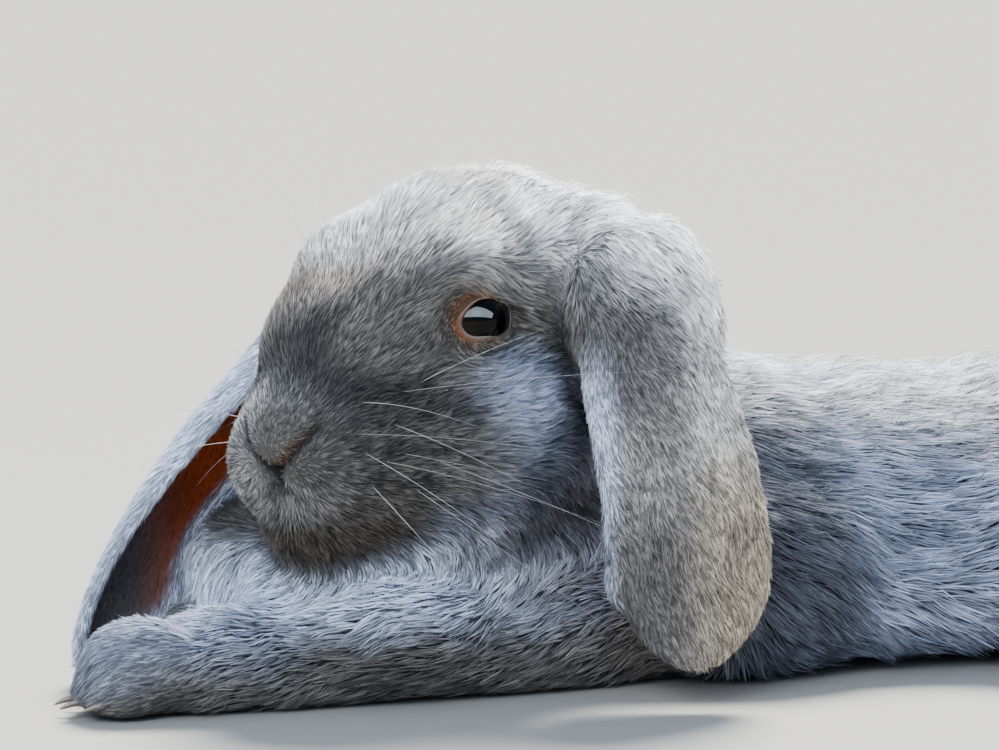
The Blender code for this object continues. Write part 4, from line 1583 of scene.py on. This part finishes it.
@dataclass
class Coat:
    """The tufts of one zone: closed spikes that follow the lie of the coat, in one mesh."""

    region: Region
    skin: Skin
    bare: Callable[[np.ndarray], np.ndarray]
    sunk: float = 0.4 * MM
    least_height: float = 0.3 * MM
    stray_share: float = 0.18
    softness: float = 0.5
    patch: float = 0.003
    seed: int = 11

    def roots(self, rng: np.random.Generator) -> tuple[np.ndarray, np.ndarray]:
        """Scatters the roots evenly over the zone.

        Args:
            rng: the source of chance.

        Returns:
            The face of each root, and its three corner shares.
        """
        surface, zone = self.skin.surface, self.region.value
        mine = self.skin.zone_of[surface.faces[:, 0]] == REGIONS.index(self.region)
        faces = np.flatnonzero(mine)
        corners = surface.points[surface.faces[faces]]
        area = 0.5 * np.linalg.norm(
            np.cross(corners[:, 1] - corners[:, 0], corners[:, 2] - corners[:, 0]), axis=1
        )
        closeness = np.full(len(faces), zone.closeness / MM**2)
        middle, normal = corners.mean(axis=1), self.skin.normals[surface.faces[faces, 0]]
        closeness *= 1.0 - 0.9 * smoothstep(-0.6, -0.9, normal[:, 2]) * smoothstep(
            6 * MM, 3 * MM, middle[:, 2]
        )
        share = np.cumsum(area * closeness)
        count = int(share[-1])
        spots = (np.arange(count) + rng.random(count)) / count * share[-1]
        chosen = faces[np.searchsorted(share, spots)]
        first, second = np.sqrt(rng.random(count)), rng.random(count)
        shares = np.stack([1 - first, first * (1 - second), first * second], axis=1)
        return chosen, shares

    def unwrap(self) -> np.ndarray:
        """Lays the zone's skin out flat, by Blender's own unwrap of a copy of that skin.

        Returns:
            For each face of the skin the flat places of its three corners, 0 outside the zone.
        """
        surface = self.skin.surface
        mine = np.flatnonzero(self.skin.zone_of[surface.faces[:, 0]] == REGIONS.index(self.region))
        used, corners = np.unique(surface.faces[mine], return_inverse=True)
        patch = new_piece("patch", surface.points[used], corners.reshape(-1, 3))
        patch.data.uv_layers.new(name=BAKE_MAP)
        bpy.context.view_layer.objects.active = patch
        patch.select_set(True)
        bpy.ops.object.mode_set(mode="EDIT")
        bpy.ops.mesh.select_all(action="SELECT")
        bpy.ops.uv.smart_project(angle_limit=math.radians(66), island_margin=0.004)
        bpy.ops.object.mode_set(mode="OBJECT")
        flat = np.empty(len(patch.data.loops) * 2)
        patch.data.uv_layers[BAKE_MAP].data.foreach_get("uv", flat)
        discard(patch)
        table = np.zeros((len(surface.faces), 3, 2))
        table[mine] = flat.reshape(-1, 3, 2)
        return table

    def build(self) -> bpy.types.Object:
        """Grows the zone's tufts.

        A tuft leaves its root, rises to the coat's depth and bends with the skin: at a way s along
        it the place is root + lie sin(bs)/b - normal (1 - cos(bs))/b + height(s) times the turned
        normal, b being the skin's bend. Tips are then drawn towards the middle of their clump.

        Returns:
            The finished piece.
        """
        zone, surface = self.region.value, self.skin.surface
        rng = np.random.default_rng(self.seed + REGIONS.index(self.region))
        chosen, shares = self.roots(rng)

        def at_root(values: np.ndarray) -> np.ndarray:
            """Blends corner values at the roots."""
            return np.einsum("ij,ijk->ik", shares, values[surface.faces[chosen]])

        root, normal = at_root(surface.points), unit(at_root(self.skin.normals))
        lie = at_root(self.skin.lie)
        lie = unit(lie - dot(lie, normal) * normal)
        inner = at_root(self.skin.inner_ear[:, None])[:, 0]
        keep = ~self.bare(root) & (rng.random(len(root)) > 0.8 * inner)
        chosen, shares, root, normal, lie = (part[keep] for part in (chosen, shares, root, normal, lie))
        count = len(root)
        traits = np.stack(
            [
                self.skin.shared(lambda z: z.depth),
                self.skin.shared(lambda z: z.length),
                self.skin.shared(lambda z: z.width),
                self.skin.bend,
            ],
            axis=1,
        )
        depth, length, width, bend = at_root(traits).T
        ease = self.skin.floor_ease(root, normal)
        trim = self.skin.trim(root)
        wander = (cloud_noise(root, 7 * MM, 21) - 0.5) * 0.8 + rng.normal(0, 0.2, count)
        side = np.cross(normal, lie)
        lie = unit(lie + side * wander[:, None])
        side = np.cross(normal, lie)
        length = length * MM * rng.uniform(0.6, 1.15, count) * trim
        height = depth * MM * rng.uniform(0.5, 1.1, count) * ease * np.sqrt(trim)
        stray = rng.random(count) < self.stray_share
        height *= np.where(stray, rng.uniform(1.2, 1.5 if zone.name == "neck" else 2.4, count), 1.0)
        fall = np.maximum(-(lie * length[:, None])[:, 2], 1e-6)
        length *= np.clip((root[:, 2] - 0.8 * MM) / fall, 0.25, 1.0)
        width = width * MM * rng.uniform(0.7, 1.25, count) * np.where(stray, 0.6, 1.0)
        bend = np.where(np.abs(bend) < 1e-3, 1e-3, bend)

        def along(share: float, rise: float) -> np.ndarray:
            """The tufts' middle lines at a share of their length.

            Args:
                share: how far along.
                rise: how much of the height they have there.

            Returns:
                Places in metres.
            """
            turn = bend * length * share
            ahead, drop = np.sin(turn) / bend, (1 - np.cos(turn)) / bend
            out = normal * np.cos(turn)[:, None] + lie * np.sin(turn)[:, None]
            return root + lie * ahead[:, None] - normal * drop[:, None] + out * (height * rise)[:, None]

        clump = clump_numbers(root, zone.clump * MM, 31)
        lock = clump_numbers(root, zone.lock * MM, 47)
        pull = rng.uniform(0.3, 0.8, count)[:, None]
        tip = along(1.0, 1.0)
        tip += pull * 0.5 * (group_mean(tip, clump) - tip)
        tip += rng.uniform(0.45, 0.9, count)[:, None] * (group_mean(tip, lock) - tip)
        middle = along(0.42, 0.72)
        middle += pull * 0.5 * (group_mean(middle, lock) - middle)
        lean = rng.normal(0, 1, (int(lock.max()) + 1, 3))[lock] * 0.30 + rng.normal(0, 0.14, (count, 3))
        low = root - normal * self.sunk
        for line in (middle, tip):
            line[:, 2] = np.maximum(line[:, 2], self.least_height)
        tone = at_root(self.skin.tones)
        speckle = at_root(self.skin.shared(lambda z: z.speckle)[:, None])[:, 0]
        own_tone = rng.normal(0.0, 0.25, count) + rng.normal(0, 0.30, int(lock.max()) + 1)[lock]
        tone *= np.exp(np.minimum(speckle * own_tone, 0.48))[:, None]
        tone *= np.exp(rng.normal(0, 0.10, int(clump.max()) + 1)[clump])[:, None]
        flat = np.einsum("ij,ijk->ik", shares, self.unwrap()[chosen])
        hairs = Hairs(low, middle, tip, side, normal, lie, width)
        form = spindles(hairs) if zone.curved else spikes(hairs)
        return self.finished(form, tone, flat, unit(normal + lean))

    def finished(
        self, form: Form, tone: np.ndarray, flat: np.ndarray, normal: np.ndarray
    ) -> bpy.types.Object:
        """Joins the tufts into one mesh with colours, soft normals and the flat map.

        Args:
            form: the tufts' points and faces.
            tone: each tuft's colour.
            flat: each root's place on the flat map.
            normal: each tuft's soft normal.

        Returns:
            The finished piece.
        """
        count, size = form.points.shape[:2]
        along = np.array(form.along)
        faces = (np.array(form.pattern)[None] + size * np.arange(count)[:, None, None]).reshape(-1, 3)
        name = f"coat_{self.region.value.name}"
        thing = new_piece(name, form.points.reshape(-1, 3), faces)
        # Darker roots and lighter tips: partly the coat's dark undercoat and pale tips, partly painted shade
        # deep among the hairs; bright tones get less of it.
        dark = 0.20 + 0.5 * smoothstep(0.25, 0.7, tone.mean(axis=1))[:, None]
        shade = dark + (1.62 - dark) * along[None] ** 1.15
        write_colours(thing, (tone[:, None, :] * shade[:, :, None]).reshape(-1, 3))
        soft = unit(unit(form.own) * (1 - self.softness) + normal[:, None, :] * self.softness)
        thing.data.normals_split_custom_set_from_vertices(soft.reshape(-1, 3))
        spread = np.stack([np.array(form.across), along - 0.5], axis=1) * self.patch
        places = np.clip(flat[:, None, :] + spread[None], 0.0, 1.0).reshape(-1, 2)
        layer = thing.data.uv_layers.new(name=BAKE_MAP)
        layer.data.foreach_set("uv", places[faces.ravel()].astype(np.float32).ravel())
        thing.data.materials.append(FUR.material())
        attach(thing, BODY)
        LOG.info("%s: %d tufts, %d triangles", name, count, len(faces))
        return thing


# ---------------------------------------------------------------- eyes


@dataclass
class Eye:
    """One eye: a ball with pupil, iris and white, and the rolled rim of its lids.

    The rim's profile is in millimetres: steps outwards from the opening, along the eyeball, and
    heights above it.
    """

    place: EyePlace
    bulge: float = 0.9 * MM
    cornea: float = math.radians(48)
    rows: int = 40
    columns: int = 64
    lid_columns: int = 96
    steps: tuple[float, ...] = (-0.4, -0.38, -0.1, 0.3, 0.8, 1.4, 2.1, 2.8, 2.2, 0.8)
    heights: tuple[float, ...] = (-0.7, 0.05, 0.32, 0.5, 0.6, 0.62, 0.5, -0.2, -1.3, -1.2)
    front_lid: Colour = (0.15, 0.055, 0.018)
    upper_lid: Colour = (0.05, 0.038, 0.032)
    lower_lid: Colour = (0.10, 0.070, 0.052)
    seed: int = 3

    def eyeball(self) -> bpy.types.Object:
        """A ball round the gaze; the clear front stands out by the bulge times a cosine bell."""
        down = np.linspace(0, math.pi, self.rows + 1)[1:-1]
        turn = np.linspace(0, math.tau, self.columns, endpoint=False)
        bell = np.where(down < self.cornea, 0.5 + 0.5 * np.cos(math.pi * down / self.cornea), 0.0)
        reach = self.place.radius + self.bulge * bell
        down_grid, turn_grid = np.meshgrid(down, turn, indexing="ij")
        rim = np.stack(
            [np.sin(down_grid) * np.cos(turn_grid), np.sin(down_grid) * np.sin(turn_grid), np.cos(down_grid)],
            axis=-1,
        ) * reach[:, None, None]
        front, rear = self.place.radius + self.bulge, -self.place.radius
        points = np.concatenate([[[0, 0, front]], rim.reshape(-1, 3), [[0, 0, rear]]])
        faces = pole_grid_faces(self.rows - 1, self.columns)
        points = points @ self.place.axes + self.place.centre
        if np.linalg.det(self.place.axes) < 0:
            faces = faces[:, ::-1]
        thing = new_piece(f"eyeball_{self.place.side}", points, faces)
        angle = np.concatenate([[0.0], np.repeat(down, self.columns), [math.pi]])
        store = thing.data.attributes.new("angle", "FLOAT", "POINT")
        store.data.foreach_set("value", np.degrees(angle).astype(np.float32))
        thing.data.materials.append(WET_EYE.material())
        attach(thing, BODY)
        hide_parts(f"eye_{self.place.side}")
        return thing

    def lids(self) -> bpy.types.Object:
        """The lids' rolled rim: a closed profile carried round the opening."""
        rng = np.random.default_rng(self.seed)
        steps, heights = np.array(self.steps) * MM, np.array(self.heights) * MM
        turn = np.linspace(0, math.tau, self.lid_columns, endpoint=False)
        angle = (OPENING.rim(turn)[:, None] + steps[None]) / self.place.radius
        local = globe(angle, turn[:, None]) * (self.place.radius + heights)[None, :, None]
        grid = np.arange(local.shape[0] * local.shape[1]).reshape(local.shape[:2])
        after, beside = np.roll(grid, -1, axis=0), np.roll(grid, -1, axis=1)
        faces = np.stack([grid, after, np.roll(after, -1, axis=1), beside], axis=-1).reshape(-1, 4)
        if np.linalg.det(self.place.axes) > 0:
            faces = faces[:, ::-1]
        points = local.reshape(-1, 3) @ self.place.axes + self.place.centre
        thing = new_piece(f"eyelids_{self.place.side}", points, faces)
        front = np.repeat(smoothstep(-0.3, 0.7, np.cos(turn - 0.5)), len(steps))[:, None]
        above = np.repeat(smoothstep(-0.2, 0.5, np.sin(turn + 0.4)), len(steps))[:, None]
        tones = (1 - above) * np.array(self.lower_lid) + above * np.array(self.upper_lid)
        tones = front * np.array(self.front_lid) + (1 - front) * tones
        inner = np.tile(smoothstep(0.6 * MM, -0.3 * MM, steps), len(turn))[:, None]
        write_colours(thing, tones * (1 - 0.8 * inner) * rng.uniform(0.75, 1.2, (len(points), 1)))
        thing.data.materials.append(LID_SKIN.material())
        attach(thing, BODY)
        return thing

    def build(self) -> None:
        """Makes the ball and the lids."""
        self.eyeball()
        self.lids()
        LOG.info("eye_%s: ball and lids", self.place.side)


def bare_of_hair(points: np.ndarray) -> np.ndarray:
    """True where no tuft may root: on the eyes and the lids' rims, and in the nostrils' slits."""
    local = HEAD.inward(points)
    slits = np.maximum(NOSTRIL.nearness(local), PHILTRUM.nearness(local)) > 0.72
    return (beyond_lids(points) < 0.1 * MM) | slits


# ---------------------------------------------------------------- claws and whiskers


@dataclass
class Claws:
    """The sixteen claws: the frame's own forms, merged and rounded, with a horn finish."""

    rounds: int = 1

    def build(self) -> None:
        """Makes every claw."""
        names = sorted(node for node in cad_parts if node.startswith("claw_"))
        for node in names:
            form = frame_surface(node)
            thing = new_piece(node.replace("claw_", "nail_"), form.points, form.faces)
            rounding = thing.modifiers.new("rounding", "SUBSURF")
            rounding.levels = rounding.render_levels = self.rounds
            thing.data.materials.append(HORN.material())
            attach(thing, BODY)
            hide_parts(node)
        LOG.info("claws: %d", len(names))


@dataclass
class Whiskers:
    """Long tapering hairs on the lip pads, over the eyes and on the cheeks."""

    skin: Skin
    thickness: float = 0.085 * MM
    sunk: float = 1.0 * MM
    rings: int = 16
    sides: int = 4
    seed: int = 5

    def starts(self) -> np.ndarray:
        """Sets out the hairs.

        Returns:
            A row for each hair: its head place, its direction, and its length in millimetres.
        """
        rng = np.random.default_rng(self.seed)
        rows = []
        for side in (-1.0, 1.0):
            for back, up in MARKINGS.spots[::2] + MARKINGS.spots[9:12:2]:
                droop = (up - 6) / 22 + rng.normal(0, 0.22)
                rows.append(
                    (back + rng.normal(0, 0.8), 24 * side, up + rng.normal(0, 0.8))
                    + (0.10 + back / 34 - 0.24 * (side + 1) + rng.normal(0, 0.12), 0.9 * side, droop - 0.1)
                    + (rng.uniform(34, 70) * (0.7 + back / 70),)
                )
            for number in range(3):
                rows.append(
                    (44 + 3 * number, 26 * side, 44 + 1.5 * number)
                    + (-0.35 + 0.2 * number, 0.5 * side, 0.9 + rng.normal(0, 0.1))
                    + (rng.uniform(22, 38),)
                )
            for number in range(2):
                rows.append(
                    (28 + 6 * number, 30 * side, 14 - 2 * number)
                    + (0.8, 0.6 * side, 0.66 - 0.5 * number)
                    + (rng.uniform(30, 38) - 12 * number,)
                )
        return np.array(rows)

    def build(self) -> None:
        """Makes every hair: a four-sided tube whose line runs out straight and then bends.

        At a share s of its length L the line is at root + L (s d + s^2 b), d being the direction and
        b a small bend back and down. The radius falls from its thickness to a tenth of it.
        """
        rows = self.starts()
        rng = np.random.default_rng(self.seed + 1)
        points, normals = self.skin.surface.points, self.skin.normals
        wanted = HEAD.outward(rows[:, :3])
        nearest = np.array([np.argmin(np.linalg.norm(points - place, axis=1)) for place in wanted])
        root = points[nearest] - normals[nearest] * self.sunk
        way = unit(unit(HEAD.heading(rows[:, 3:6])) + 0.35 * normals[nearest])
        length = rows[:, 6] * MM
        bend = HEAD.heading(np.array((0.18, 0.0, -0.14))) + rng.normal(0, 0.05, (len(rows), 3))
        share = np.linspace(0, 1, self.rings)
        line = way[:, None] * share[None, :, None] + bend[:, None] * share[None, :, None] ** 2
        line = root[:, None] + line * length[:, None, None]
        line[..., 2] = np.maximum(line[..., 2], 0.6 * MM + 0.004 * share**2)
        side = unit(np.cross(way, np.array((0.0, 0.0, 1.0))))
        over = np.cross(side, way)
        radius = self.thickness * (1 - 0.9 * share**1.2)
        stout = rng.uniform(0.5, 1.25, len(rows))[:, None, None, None]
        turn = np.linspace(0, math.tau, self.sides, endpoint=False)
        ring = side[:, None, None] * np.cos(turn)[:, None] + over[:, None, None] * np.sin(turn)[:, None]
        tube = line[:, :, None] + ring * radius[None, :, None, None] * stout
        count, rings = len(rows), self.rings
        grid = np.arange(count * rings * self.sides).reshape(count, rings, self.sides)
        low, high = grid[:, :-1], grid[:, 1:]
        faces = np.stack([low, high, np.roll(high, -1, axis=2), np.roll(low, -1, axis=2)], axis=-1)
        ends = np.concatenate([grid[:, 0], grid[:, -1, ::-1]])
        faces = np.concatenate([faces.reshape(-1, 4), ends])
        thing = new_piece("whiskers", tube.reshape(-1, 3), faces)
        thing.data.materials.append(WHISKER.material())
        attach(thing, BODY)
        LOG.info("whiskers: %d", count)


# ---------------------------------------------------------------- studio


@dataclass
class Studio:
    """A pale floor, soft lights and the camera."""

    view_width: float = 0.2629
    distance: float = 1.2
    azimuth: float = math.radians(-20)
    elevation: float = math.radians(6)
    target: Place = (-0.09872, -0.05853, 0.086)
    floor_half: float = 20.0

    def build(self) -> None:
        """Makes floor, lights, world and camera."""
        corners = np.array([[-1, -1, 0], [1, -1, 0], [1, 1, 0], [-1, 1, 0]]) * self.floor_half
        floor = new_piece("floor", corners, np.array([[0, 1, 2, 3]]))
        material, shader = blank_material("floor")
        shader.inputs["Base Color"].default_value = (0.43, 0.418, 0.395, 1.0)
        shader.inputs["Roughness"].default_value = 0.85
        shader.inputs["Specular IOR Level"].default_value = 0.0
        floor.data.materials.append(material)
        world = bpy.data.worlds.new("studio")
        bpy.context.scene.world = world
        world.use_nodes = True
        sky = world.node_tree.nodes["Background"]
        sky.inputs["Color"].default_value = (0.64, 0.79, 1.0, 1.0)
        sky.inputs["Strength"].default_value = 0.82
        self.sun((0.30, 0.55, 1.05), 13.0, math.radians(24))
        self.lamp("fill", (-0.80, -1.05, 0.80), 0.60, 12.5, (0.84, 0.92, 1.0))
        glint = self.lamp("glint", (-0.62, -0.95, 0.88), 4.4, 640.0, (0.70, 0.84, 1.0))
        glint.data.shape = "RECTANGLE"
        glint.data.size_y = 1.0
        glint.visible_diffuse = False
        self.camera()

    def aimed(self, data: bpy.types.ID, place: Place | Vector) -> bpy.types.Object:
        """Stands a light or the camera at a place, turned to the target.

        Args:
            data: the light or the camera.
            place: where it stands, in metres.

        Returns:
            The linked object.
        """
        thing = bpy.data.objects.new(data.name, data)
        bpy.context.scene.collection.objects.link(thing)
        thing.location = place
        thing.rotation_mode = "QUATERNION"
        aim = Vector(self.target) - Vector(place)
        thing.rotation_quaternion = aim.to_track_quat("-Z", "Y")
        return thing

    def sun(self, place: Place, strength: float, spread: float) -> None:
        """The key light: a broad, even lamp, so soft at its shadows.

        Args:
            place: where its light comes from.
            strength: its strength.
            spread: its width as an angle.
        """
        light = bpy.data.lights.new("key", "SUN")
        light.energy, light.angle, light.color = strength, spread, (1.0, 0.98, 0.95)
        self.aimed(light, place)

    def lamp(self, name: str, place: Place, size: float, power: float, colour: Colour) -> bpy.types.Object:
        """A square soft light aimed at the head.

        Args:
            name: its name.
            place: where it stands, in metres.
            size: its side in metres.
            power: its power in watts.
            colour: its linear colour.

        Returns:
            The lamp's object.
        """
        light = bpy.data.lights.new(name, "AREA")
        light.size, light.energy, light.color = size, power, colour
        return self.aimed(light, place)

    def camera(self) -> None:
        """The camera: its lens shows view_width at the target."""
        lens = bpy.data.cameras.new("camera")
        lens.lens = lens.sensor_width * self.distance / self.view_width
        across, rise = math.cos(self.elevation), math.sin(self.elevation)
        back = Vector((math.sin(self.azimuth) * across, -math.cos(self.azimuth) * across, rise))
        bpy.context.scene.camera = self.aimed(lens, Vector(self.target) + back * self.distance)


def main() -> None:
    """Builds the rabbit."""
    logging.basicConfig(level=logging.INFO, format="%(name)s: %(message)s")
    skin = Skin()
    skin.build()
    skin.dress()
    for region in REGIONS:
        Coat(region, skin, bare_of_hair).build()
    for place in EYE_PLACES:
        Eye(place).build()
    Claws().build()
    Whiskers(skin).build()
    Studio().build()


if __name__ == "__main__":
    main()
